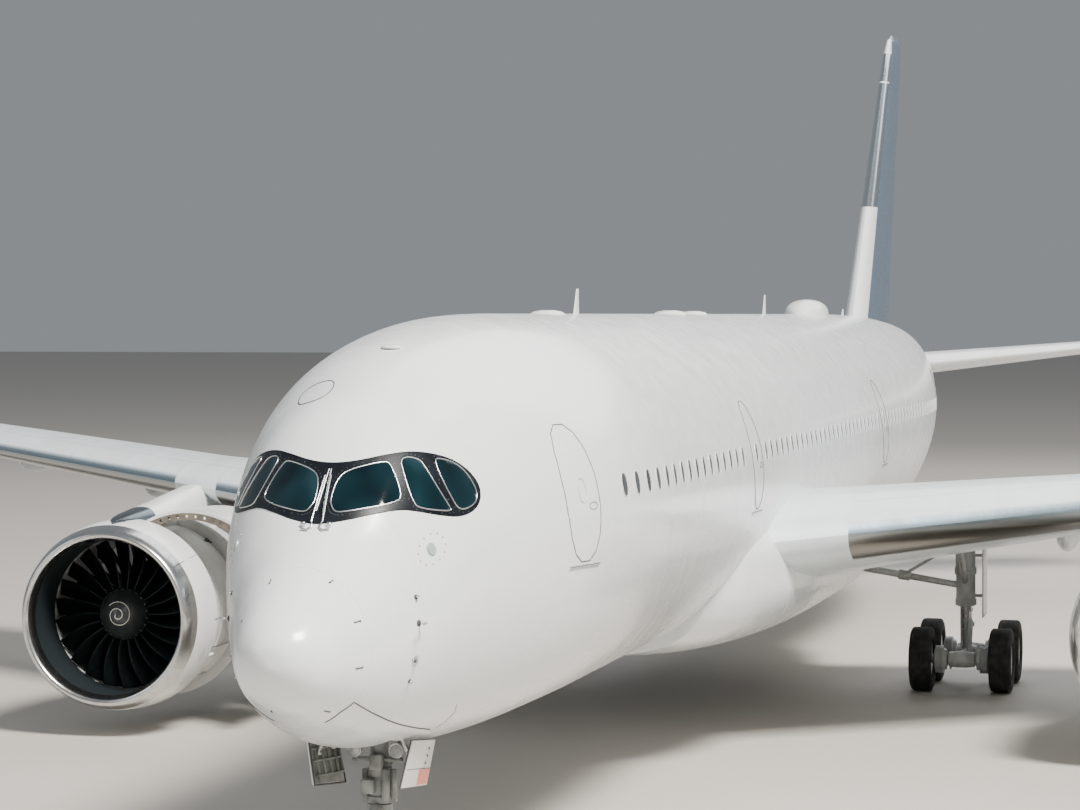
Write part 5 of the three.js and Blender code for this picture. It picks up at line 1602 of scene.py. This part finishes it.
# A rim dished towards its outer face, with a hub and a ring of bolts
def makeRim(name, x, y, size, outward):
    radius, wide = size["radius"] * gear["rim"], size["width"] / 2
    profile = [(-0.74, 0.6), (-0.74, 0.98), (-0.7, 1.0), (-0.62, 0.95), (-0.4, 0.92), (0.4, 0.92), (0.62, 0.95),
               (0.7, 1.0), (0.78, 0.99), (0.78, 0.93), (0.62, 0.88), (0.36, 0.82), (0.26, 0.7), (0.24, 0.5),
               (0.34, 0.42), (0.52, 0.38), (0.6, 0.3), (0.62, 0.12)]
    pairs = [(across * wide * outward, share * radius) for across, share in profile]
    pieces = [crossTurned(name, x, y, size["radius"], pairs, 48)]
    face = x + 0.25 * wide * outward
    for angle in circle(size["bolts"]):
        spot = (face, y + radius * 0.6 * math.cos(angle), size["radius"] + radius * 0.6 * math.sin(angle))
        pieces.append(rod("bolt", spot, (spot[0] + 0.03 * outward, spot[1], spot[2]), 0.016, 6))
    return joined(name, pieces)


def makeWheelSet(name, x, y, size):
    offset = size["twin"] / 2
    pieces = [makeRim("rim", x + side * offset, y, size, side) for side in (-1, 1)]
    z = size["radius"]
    pieces.append(rod("axle", (x - offset, y, z), (x + offset, y, z), size["axle"] * 0.96, 32))
    return joined(name, pieces)


noseLeg = {
    "strut": [(3.34, 0.13), (3.2, 0.15), (2.86, 0.15), (2.84, 0.185), (2.74, 0.185), (2.72, 0.145), (2.02, 0.14),
              (2.0, 0.172), (1.88, 0.172), (1.86, 0.145), (1.62, 0.145), (1.6, 0.175), (1.51, 0.175)],
    "fork": [(1.496, 0.12), (1.495, 0.176), (1.38, 0.178), (1.36, 0.15), (1.28, 0.145), (1.26, 0.105)],
    "piston": [(1.3, 0.092), (0.62, 0.09)],
    "lamps": [(0.3, 4.5, 2.27), (-0.3, 4.5, 2.27)], "lampSize": 0.1,
    "bowl": [(0.0, 0.9), (0.01, 1), (0.05, 1), (0.11, 0.75), (0.15, 0.35), (0.17, 0.2)],
    "glass": [(-0.012, 0.2), (-0.009, 0.6), (0.001, 0.86)],
    "door": [(3.74, 2.52), (5.0, 2.37), (5.0, 1.735), (3.63, 1.885)], "lean": 0.2,
}


# A round piece of the nose leg, drawn downwards
def upright(name, profile):
    top = profile[0][0]
    pairs = halved([(top - z, radius) for z, radius in profile])
    return turned(name, place(0, gear["nose"]["y"], top), (0, 0, -1), pairs, 32)


# A flat link between two pins, as a plate with rounded ends and a boss at each
def link(name, start, end, wide, thick, pin=0.04):
    start, end = Vector(start), Vector(end)
    along = (end - start).normalized()
    aside = Vector((1, 0, 0)).cross(along).normalized()
    outline = []
    for centre, turn, size in ((start, 1, wide[0]), (end, -1, wide[1])):
        for i in range(7):
            angle = math.pi * i / 6
            outline.append(centre + aside * turn * size * math.cos(angle) - along * turn * size * math.sin(angle))
    shift = Vector((thick / 2, 0, 0))
    plate = prism(name, [point - shift for point in outline], (thick, 0, 0))
    addModifier(plate, "BEVEL", width=0.004, segments=2, limit_method="ANGLE")
    pins = [rod("pin", spot - shift * 1.8, spot + shift * 1.8, pin, 20) for spot in (start, end)]
    return joined(name, [smooth(plate, 40)] + pins)


def makeNoseLeg():
    y = gear["nose"]["y"]
    pieces = [
        upright("strut", noseLeg["strut"]),
        rod("trunnion", (-0.558, y, 3.0), (0.558, y, 3.0), 0.1, 24),
        rod("cross tube", (-0.42, y + 1.6, 3.05), (0.42, y + 1.6, 3.05), 0.06, 20),
        rod("lamp tube", (-0.36, y - 0.1, 2.12), (0.36, y - 0.1, 2.12), 0.035, 20),
        slab("clamp", (-0.09, y - 0.24, 1.98), (0.09, y - 0.1, 2.2), 0.02),
        slab("valve block", (-0.2, y - 0.3, 1.66), (-0.02, y - 0.14, 1.86), 0.02),
        rod("accumulator", (0.13, y - 0.18, 1.56), (0.13, y - 0.18, 2.0), 0.055, 20),
    ]
    for side in (-1, 1):
        foot, head = (side * 0.06, y + 0.02, 1.95), (side * 0.4, y + 1.6, 3.05)
        low, high = (Vector(foot).lerp(Vector(head), share) for share in (0.45, 0.56))
        across = sorted((0, side * 0.24))
        pieces += [
            rod("brace", foot, head, 0.05, 20),
            rod("brace head", low, high, 0.075, 20),
            rod("steering jack", (side * 0.2, y - 0.02, 1.56), (side * 0.2, y - 0.02, 1.98), 0.05, 20),
            slab("jack lug", (across[0], y - 0.06, 1.52), (across[1], y + 0.04, 1.6), 0.015),
            rod("lamp bracket", (side * 0.3, y - 0.1, 2.12), (side * 0.3, y - 0.14, 2.25), 0.028, 14),
        ]
    finished(joined("nose_leg_fittings", pieces), noseLegShadePaint, "nose_gear_leg")
    bodies, lenses, rims = [], [], []
    size = noseLeg["lampSize"]
    bowl, glass = (halved([(along, size * share) for along, share in noseLeg[key]]) for key in ("bowl", "glass"))
    for x, front, z in noseLeg["lamps"]:
        bodies.append(turned("bowl", place(x, front, z), (0, 1, 0), bowl, 32))
        lenses.append(turned("lens", place(x, front, z), (0, 1, 0), glass, 32))
        rims.append([Vector((x + size * 0.95 * math.cos(a), front, z + size * 0.95 * math.sin(a)))
                     for a in circle(32)])
    finished(joined("nose_leg_lamps", bodies), wheelMetal)
    finished(joined("nose_leg_lenses", lenses), lampGlass)
    finished(threads("nose_leg_lamp_rims", rims, 0.012), trimMetal)
    print("nose leg made")


def makeNoseSteering():
    size = gear["nose"]
    y, axle = size["y"], size["radius"]
    pieces = [
        upright("fork", noseLeg["fork"]),
        crossTurned("axle housing", 0, y, axle, [(-0.16, 0.08), (-0.155, 0.11), (-0.1, 0.125), (0.1, 0.125),
                                                (0.155, 0.11), (0.16, 0.08)], 32),
        slab("tow lug", (-0.05, y - 0.3, axle - 0.05), (0.05, y - 0.06, axle + 0.05), 0.015),
        rod("tow pin", (-0.09, y - 0.25, axle), (0.09, y - 0.25, axle), 0.028, 20),
        link("upper torque link", (0, y + 0.13, 1.34), (0, y + 0.34, 1.02), (0.07, 0.045), 0.1),
        link("lower torque link", (0, y + 0.34, 1.02), (0, y + 0.12, 0.68), (0.045, 0.07), 0.07),
        slab("lower yoke", (-0.11, y - 0.1, 0.56), (0.11, y + 0.12, 0.72), 0.03),
        rod("front cap", (0.0, y - 0.27, 1.44), (0.0, y - 0.12, 1.44), 0.085, 28),
    ]
    finished(joined("nose_fork_fittings", pieces), noseLegShadePaint, "nose_gear_steering", body="nose_steering")
    finished(upright("nose_leg_piston", noseLeg["piston"]), trimMetal, body="nose_steering")
    finished(makeWheelSet("nose_wheel_set", 0, y, size), wheelMetal, "nose_wheels", body="nose_wheels")
    for side, word in sides:
        node = "nose_tyre_" + word
        finished(makeTyre(node + "_rubber", side * size["twin"] / 2, y, size), rubber, node, body="nose_wheels")
    print("nose wheels made")


# A gear door hangs from the edge of the bay and leans inwards at its foot
def doorSpot(start, y, z):
    return start + (z - 1.85) * noseLeg["lean"], y, z


def noseDoor(name, start, thick, inset=0.0):
    outline = [Vector(corner) for corner in noseLeg["door"]]
    middle = sum(outline, Vector((0, 0))) / len(outline)
    outline = refined([corner + (middle - corner).normalized() * inset for corner in outline], 0.3)
    piece = prism(name, [doorSpot(start, y, z) for y, z in outline], (thick, 0, 0))
    addModifier(piece, "BEVEL", width=0.003, segments=2, limit_method="ANGLE")
    return smooth(piece, 40)


def makeNoseDoors():
    skin = noseDoor("nose_door_skin_port", 0.6, 0.025)
    finishedPair(skin, cowlPaint, "nose_gear_door_port")
    inside = [noseDoor("lining", 0.588, 0.01, 0.05)]
    for y in (3.86, 4.14, 4.42, 4.7, 4.9):
        inside.append(rod("rib", doorSpot(0.575, y, 1.93), doorSpot(0.575, y, 2.36), 0.022, 12))
    for z in (2.0, 2.2, 2.36):
        inside.append(rod("stringer", doorSpot(0.575, 3.74, z), doorSpot(0.575, 4.94, z - 0.1), 0.018, 12))
    finishedPair(joined("nose_door_lining_port", inside), liningPaint)
    seal = [Vector(doorSpot(0.592, y, z)) for y, z in refined(noseLeg["door"], 0.3)]
    finishedPair(threads("nose_door_seal_port", [seal], 0.012), jointPaint)
    arms = []
    for y in (3.95, 4.6):
        foot = doorSpot(0.56, y, 2.3)
        arms.append(link("arm", (foot[0], y, 2.28), (0.5, y + 0.02, 2.62), (0.04, 0.05), 0.05, 0.03))
    finishedPair(joined("nose_door_arms_port", arms), wheelMetal)
    seam = [Vector(doorSpot(0.627, 3.69 + 0.13 * i, 2.13 - 0.0156 * i)) for i in range(11)]
    dots = []
    for y, z in ((4.72, 2.29), (4.7, 2.19), (4.68, 2.09)):
        spot = Vector(doorSpot(0.62, y, z))
        dots.append(rod("dot", spot, spot + Vector((0.012, 0, 0)), 0.02, 16))
    finished(threads("nose_door_seam", [seam], 0.004, closed=False), jointPaint)
    finished(joined("nose_door_dots", dots), jointPaint)
    patch = [(4.4, 2.035), (4.97, 1.97), (4.97, 1.76), (4.4, 1.815)]
    plate = prism("nose_door_patch", [doorSpot(0.6245, y, z) for y, z in patch], (0.003, 0, 0))
    finished(plate, orangePaint)
    print("nose doors made")


def makeMainGear():
    size = gear["main"]
    x, y, axle = size["x"], size["y"], size["radius"]
    pivot, top = Vector((x, y, axle + 0.02)), Vector((x, y - 0.45, 3.78))
    knee, stay, root = pivot.lerp(top, 0.36), pivot.lerp(top, 0.5), Vector((2.6, y - 0.9, 2.75))
    front, rear = y - gear["spacing"] / 2, y + gear["spacing"] / 2
    pieces = [rod("beam", (x, front, axle), (x, rear, axle), 0.15, 28)]
    collar = [(-0.3, 0.12), (-0.28, 0.16), (-0.12, 0.18), (0.12, 0.18), (0.28, 0.16), (0.3, 0.12)]
    for along in (front, rear):
        pieces.append(crossTurned("sleeve", x, along, axle, collar, 32))
        for side in (-1, 1):
            stack = []
            for i in range(5):
                start = 0.4 + i * 0.036
                stack += [(start, 0.27), (start + 0.005, 0.3), (start + 0.022, 0.3), (start + 0.027, 0.27)]
            pairs = [(0.31, 0.14), (0.33, 0.22), (0.39, 0.24)] + stack + [(0.6, 0.2), (0.604, 0.13)]
            pieces.append(crossTurned("brake", x, along, axle, [(side * a, r) for a, r in pairs], 32))
        pieces.append(rod("brake rod", (x - 0.26, along + (0.1 if along < y else -0.1), axle - 0.2),
                          (x - 0.26, y, axle - 0.14), 0.028, 14))
    direction = (top - pivot).normalized()
    reach = (top - knee).length
    sleeve = [(0, 0.19), (0.02, 0.235), (0.14, 0.235), (0.16, 0.215), (0.7, 0.215), (0.72, 0.245), (0.86, 0.245),
              (0.88, 0.22), (reach - 0.2, 0.22), (reach, 0.2)]
    pieces.append(turned("cylinder", place(*knee), direction, halved(sleeve), 36))
    pieces += [
        crossTurned("pivot", x, y, axle + 0.02, [(-0.24, 0.12), (-0.22, 0.19), (0.22, 0.19), (0.24, 0.12)], 32),
        rod("side stay", stay, root, 0.075, 24),
        rod("side stay joint", stay.lerp(root, 0.44), stay.lerp(root, 0.54), 0.11, 24),
        rod("drag stay", stay, (x, y - 2.6, 3.9), 0.07, 24),
        rod("lock link", stay.lerp(root, 0.5), (x - 0.2, y - 0.35, 3.2), 0.035, 16),
        rod("pitch trimmer", (x + 0.12, y - 0.72, axle + 0.1), (x + 0.12, y - 0.26, 1.5), 0.055, 20),
        link("upper torque link", (x, y + 0.1, 1.7), (x, y + 0.52, 1.34), (0.08, 0.05), 0.14, 0.05),
        link("lower torque link", (x, y + 0.52, 1.34), (x, y + 0.16, 0.92), (0.05, 0.08), 0.1, 0.05),
        rod("door arm low", (x + 0.1, y - 0.3, 2.05), (x + 0.42, y - 0.3, 2.05), 0.035, 16),
        rod("door arm high", (x + 0.1, y - 0.4, 2.95), (x + 0.42, y - 0.4, 2.95), 0.035, 16),
    ]
    finishedPair(joined("main_leg_fittings_port", pieces), gearPaint, "main_gear_leg_port")
    low, thick = (knee - pivot).length * half - 0.03, 0.13 * half
    piston = turned("main_leg_piston_port", place(*(pivot + direction * 0.1)), direction,
                    [(0, 0.125 * half), (0.005, thick), (low, thick)], 36)
    finishedPair(piston, trimMetal)
    panel = slab("main_leg_door_port", (x + 0.405, y - 0.75, 1.6), (x + 0.44, y + 0.15, 3.35), 0.03)
    finishedPair(panel, cowlPaint)
    for along, word in ((front, "front"), (rear, "rear")):
        wheels = makeWheelSet("main_wheel_set_" + word + "_port", x, along, size)
        body = "main_wheels_" + word + "_port"
        finishedPair(wheels, wheelMetal, body, body=body)
        for offset, side in ((size["twin"] / 2, "outer"), (-size["twin"] / 2, "inner")):
            node = "main_tyre_" + word + "_" + side + "_port"
            tyre = makeTyre("main_rubber_" + word + "_" + side + "_port", x + offset, along, size)
            finishedPair(tyre, rubber, node, body=body)
    print("main gear made")


makeNoseLeg()
makeNoseSteering()
makeNoseDoors()
makeMainGear()


# Small things on the skin, by their places in full-size metres
fittings = {
    "probes": [
        {"at": (1.251, 4.613), "foot": 0.034, "mast": 0.05, "ahead": 0.03},
        {"at": (1.29, 4.277), "foot": 0.042, "mast": 0.13, "ahead": 0.16},
        {"at": (1.161, 3.521), "foot": 0.03, "mast": 0.04, "ahead": 0.02},
    ],
    "vane": {"at": (1.241, 3.791), "disc": 0.07, "mast": 0.09},
    "lugs": [(-0.37, 4.85, 0.0, 0.05), (0.41, 4.87, 0.03, 0.03), (0.81, 4.39, -0.05, -0.01),
             (-0.66, 4.38, 0.01, 0.02), (0.86, 3.81, -0.05, 0.0), (0.46, 3.25, -0.04, 0.025),
             (-0.2, 3.27, 0.0, 0.02)],
    "static": {"at": (1.342, 5.204), "size": 0.088, "dots": 12, "ring": 0.2},
    "hatch": [(-0.93, 3.91, 6.99), (-1.04, 4.53, 7.18), (-0.51, 4.34, 7.37), (-0.39, 3.83, 7.21),
              (-0.54, 3.63, 7.08)],
    "doorLine": [(0.335, 1.08, 3.09), (0.546, 1.04, 3.23), (0.708, 1.11, 3.35), (0.781, 1.68, 3.15),
                 (0.84, 2.31, 2.97), (0.874, 3.16, 2.78), (0.9, 4.285, 2.6)],
    "doorArc": [(1.303, 3.99, 2.99), (1.228, 4.17, 2.87), (1.07, 4.285, 2.71), (0.9, 4.285, 2.6)],
    "blades": [(17.0, 0.46), (37.7, 0.48), (51.5, 0.2)], "lowBlades": (12.5, 16.2, 41.0),
    "pads": [(13.9, 31, 4.51, 0.25), (-13.9, 31, 4.51, 0.25), (0, 11.4, 2.16, 0.1)],
    "wicks": (24.6, 25.8, 27.0, 28.4, 29.4),
    "bumps": [(5.4, 0.16, 0.03), (15.0, 0.3, 0.06), (26.0, 0.34, 0.07), (28.6, 0.3, 0.06)],
    "dome": {"from": 43.55, "to": 46.5, "half": 0.55, "tall": 0.38},
}


# The nearest place on the skin, straight down or up its own section
def onSkin(x, y, z, grow=0.0):
    row = hullRow(y, grow)
    rise, high = riseIn(row, z)
    size = math.hypot(x / row["half"], rise / high)
    return Vector((x / size, y, row["middle"] + rise / size))


# A line along the skin through a few places
def skinLine(corners, grow):
    return [onSkin(*Vector(a).lerp(Vector(b), i / 6), grow) for a, b in zip(corners, corners[1:]) for i in range(6)]


# A thin round plate on the skin, standing proud by its thickness
def skinDisc(name, spot, radius, proud, points=24):
    normal = skinNormal(spot)
    soft = min(proud * 0.5, radius * 0.3)
    profile = [(-0.02 * half, radius * half), ((proud - soft) * half, radius * half),
               (proud * half, (radius - soft) * half)]
    return turned(name, place(*spot), normal, profile, points)


def makeProbes():
    dark, bright = [], []
    for probe in fittings["probes"]:
        foot = skinAhead(*probe["at"])
        normal = skinNormal(foot)
        dark.append(skinDisc("foot", foot, probe["foot"], 0.012, 20))
        head = foot + normal * probe["mast"]
        bright.append(rod("mast", foot, head, 0.014, 12))
        bright.append(rod("tube", head + Vector((0, 0.02, 0)), head - Vector((0, probe["ahead"], 0)), 0.012, 12))
    vane = fittings["vane"]
    foot = skinAhead(*vane["at"])
    bright.append(skinDisc("disc", foot, vane["disc"], 0.01, 28))
    dark.append(skinDisc("hub", foot, 0.03, 0.02, 20))
    bright.append(rod("blade", foot, foot + skinNormal(foot) * vane["mast"], 0.012, 12))
    finishedPair(joined("probe_feet_port", dark), jointPaint)
    finishedPair(joined("probe_tubes_port", bright), trimMetal)
    static = fittings["static"]
    spot = skinAhead(*static["at"])
    finishedPair(skinDisc("static_plate_port", spot, static["size"], 0.014, 32), sensorPaint)
    dots = []
    for angle in circle(static["dots"], 0.5):
        across, up = static["ring"] * 0.62 * math.cos(angle), static["ring"] * math.sin(angle)
        around = skinAhead(spot.x + across, spot.z + up)
        dots.append(skinDisc("dot", around, 0.012, 0.004, 10))
    finishedPair(joined("static_dots_port", dots), redPaint)
    lugs = []
    for x, z, across, up in fittings["lugs"]:
        lugs.append(skinDisc("lug", skinAhead(x, z), 0.016, 0.007, 12))
        strip = [skinAhead(x + across * i / 3, z + up * i / 3, 0.002) for i in range(4)]
        lugs.append(threads("strip", [strip], 0.009, closed=False, rounds=1))
    finished(joined("radome_lugs", lugs), jointPaint)
    hatch = rounded([onSkin(*point) for point in fittings["hatch"]], 2)
    hatch = [onSkin(*point, 0.0005) for point in refined(hatch, 0.08)]
    finished(threads("crown_hatch_line", [hatch], 0.008, rounds=1), jointPaint)
    edges = [threads("edge", [skinLine(fittings["doorLine"], 0.0005)], 0.01, closed=False, rounds=1),
             threads("arc", [skinLine(fittings["doorArc"], -0.003)], 0.007, closed=False, rounds=1)]
    finishedPair(joined("bay_line_port", edges), jointPaint)
    print("probes made")


# A blade antenna: a swept fin that thins towards its top
def bladeAntenna(name, y, tall, z, down=False):
    turn = -1 if down else 1
    rings = []
    for share in (0, 0.3, 0.6, 0.85, 0.97, 1.0):
        long = 0.42 * (1 - 0.55 * share) * (0.4 if share == 1.0 else 1)
        start = y + 0.24 * share + (0.06 if share == 1.0 else 0)
        thick = 0.03 * (1 - 0.6 * share)
        rings.append([(thick * math.sin(a), start + long * (1 - math.cos(a)) / 2, z + turn * tall * share)
                      for a in circle(20)])
    return lofted(name, rings, 50)


def makeCrown():
    blades = [bladeAntenna("blade", y, tall, topOf(y) - 0.02) for y, tall in fittings["blades"]]
    for y in fittings["lowBlades"]:
        row = hullRow(y)
        blades.append(bladeAntenna("blade", y, 0.3, row["middle"] - row["down"] + 0.02, down=True))
    finished(joined("blade_antennas", blades), cowlPaint)
    dome = fittings["dome"]
    rings = []
    for u in spread(0.0, 1.0, 18):
        full = max(0.06, math.sin(math.pi * u ** 0.85)) ** 0.6
        y = dome["from"] + (dome["to"] - dome["from"]) * u
        row = hullRow(y)
        ring = []
        for k in range(24):
            angle = math.pi * k / 23
            across = dome["half"] * full * math.cos(angle)
            base = row["middle"] + row["up"] * math.sqrt(1 - (across / row["half"]) ** 2) - 0.03
            ring.append((across, y, base + (topOf(y) + dome["tall"] * full - base) * math.sin(angle) ** 0.7))
        rings.append(ring)
    finished(lofted("crown_dome", rings, 50), cowlPaint)
    bumps = []
    for y, long, tall in fittings["bumps"]:
        bumps.append(turned("bump", place(0, y, topOf(y)), (0, 0, 1),
                            [(-0.01, long * half), (0, long * half), (tall * 0.6 * half, long * 0.8 * half),
                             (tall * half, long * 0.35 * half)], 32))
    finished(joined("crown_bumps", bumps), cowlPaint)
    lamp = turned("beacon_lamp", place(0, 27, fairing["rows"][4][3]), (0, 0, -1),
                  [(-0.01, 0.04), (0.01, 0.04), (0.024, 0.034), (0.032, 0.018)], 28)
    finished(lamp, redGlass)
    pads = [turned("pad", place(x, y, z), (0, 0, 1), [(0, 0.03), (0.01, 0.045), (rise * half, 0.045)], 24)
            for x, y, z, rise in fittings["pads"]]
    finished(joined("jack_pads", pads), wheelMetal)
    wicks = []
    for x in fittings["wicks"]:
        tail = chordPoint(rowAt(wing["rows"], x), 0.995, 0)
        wicks.append(rod("wick", tail, tail + Vector((0, 0.3, 0.01)), 0.008, 8))
    finishedPair(joined("wing_wicks_port", wicks[3:]), jointPaint, slot="bare_metal")
    finishedPair(joined("aileron_wicks_port", wicks[:3]), jointPaint, body="aileron_port", slot="bare_metal")
    print("crown made")


makeProbes()
makeCrown()


# Light, floor and camera
view = {"x": 12.182, "y": -37.433, "z": 8.258, "turn": 13.2157, "dip": 1.6233, "lens": 105.896, "sensor": 36}
lamps = {
    "key": {"at": (33, -36, 57), "size": 18, "power": 140000, "colour": (1, 0.965, 0.91)},
    "fill": {"at": (-40, -30, 22), "size": 30, "power": 4000, "colour": (0.9, 0.95, 1)},
    "back": {"at": (10, 40, 36), "size": 40, "power": 12000, "colour": (1, 1, 1)},
}


def setStage():
    deselectAll()
    bpy.ops.mesh.primitive_plane_add(size=600, location=(0, 0, -0.002))
    floor = bpy.context.object
    floor.name = "studio_floor"
    floor.data.materials.append(newMaterial("pale studio floor", (0.5, 0.47, 0.43), 0.6))
    world = bpy.data.worlds.new("studio")
    world.use_nodes = True
    sky = world.node_tree.nodes["Background"].inputs
    sky[0].default_value = (0.86, 0.92, 0.97, 1)
    sky[1].default_value = 0.3
    bpy.context.scene.world = world
    for name, lamp in lamps.items():
        light = bpy.data.lights.new(name, "AREA")
        light.energy = lamp["power"]
        light.size = lamp["size"]
        light.color = lamp["colour"]
        holder = inScene(name, light)
        holder.location = lamp["at"]
        aim = Vector((0, -8, 2)) - Vector(lamp["at"])
        holder.rotation_euler = aim.to_track_quat("-Z", "Y").to_euler()
    camera = bpy.data.cameras.new("camera")
    camera.lens = view["lens"]
    camera.sensor_width = view["sensor"]
    camera.sensor_fit = "HORIZONTAL"
    camera.clip_end = 500
    eye = inScene("camera", camera)
    eye.location = place(view["x"], view["y"], view["z"])
    turn, dip = math.radians(view["turn"]), math.radians(view["dip"])
    look = Vector((-math.sin(turn) * math.cos(dip), math.cos(turn) * math.cos(dip), -math.sin(dip)))
    eye.rotation_euler = look.to_track_quat("-Z", "Y").to_euler()
    bpy.context.scene.camera = eye


setStage()
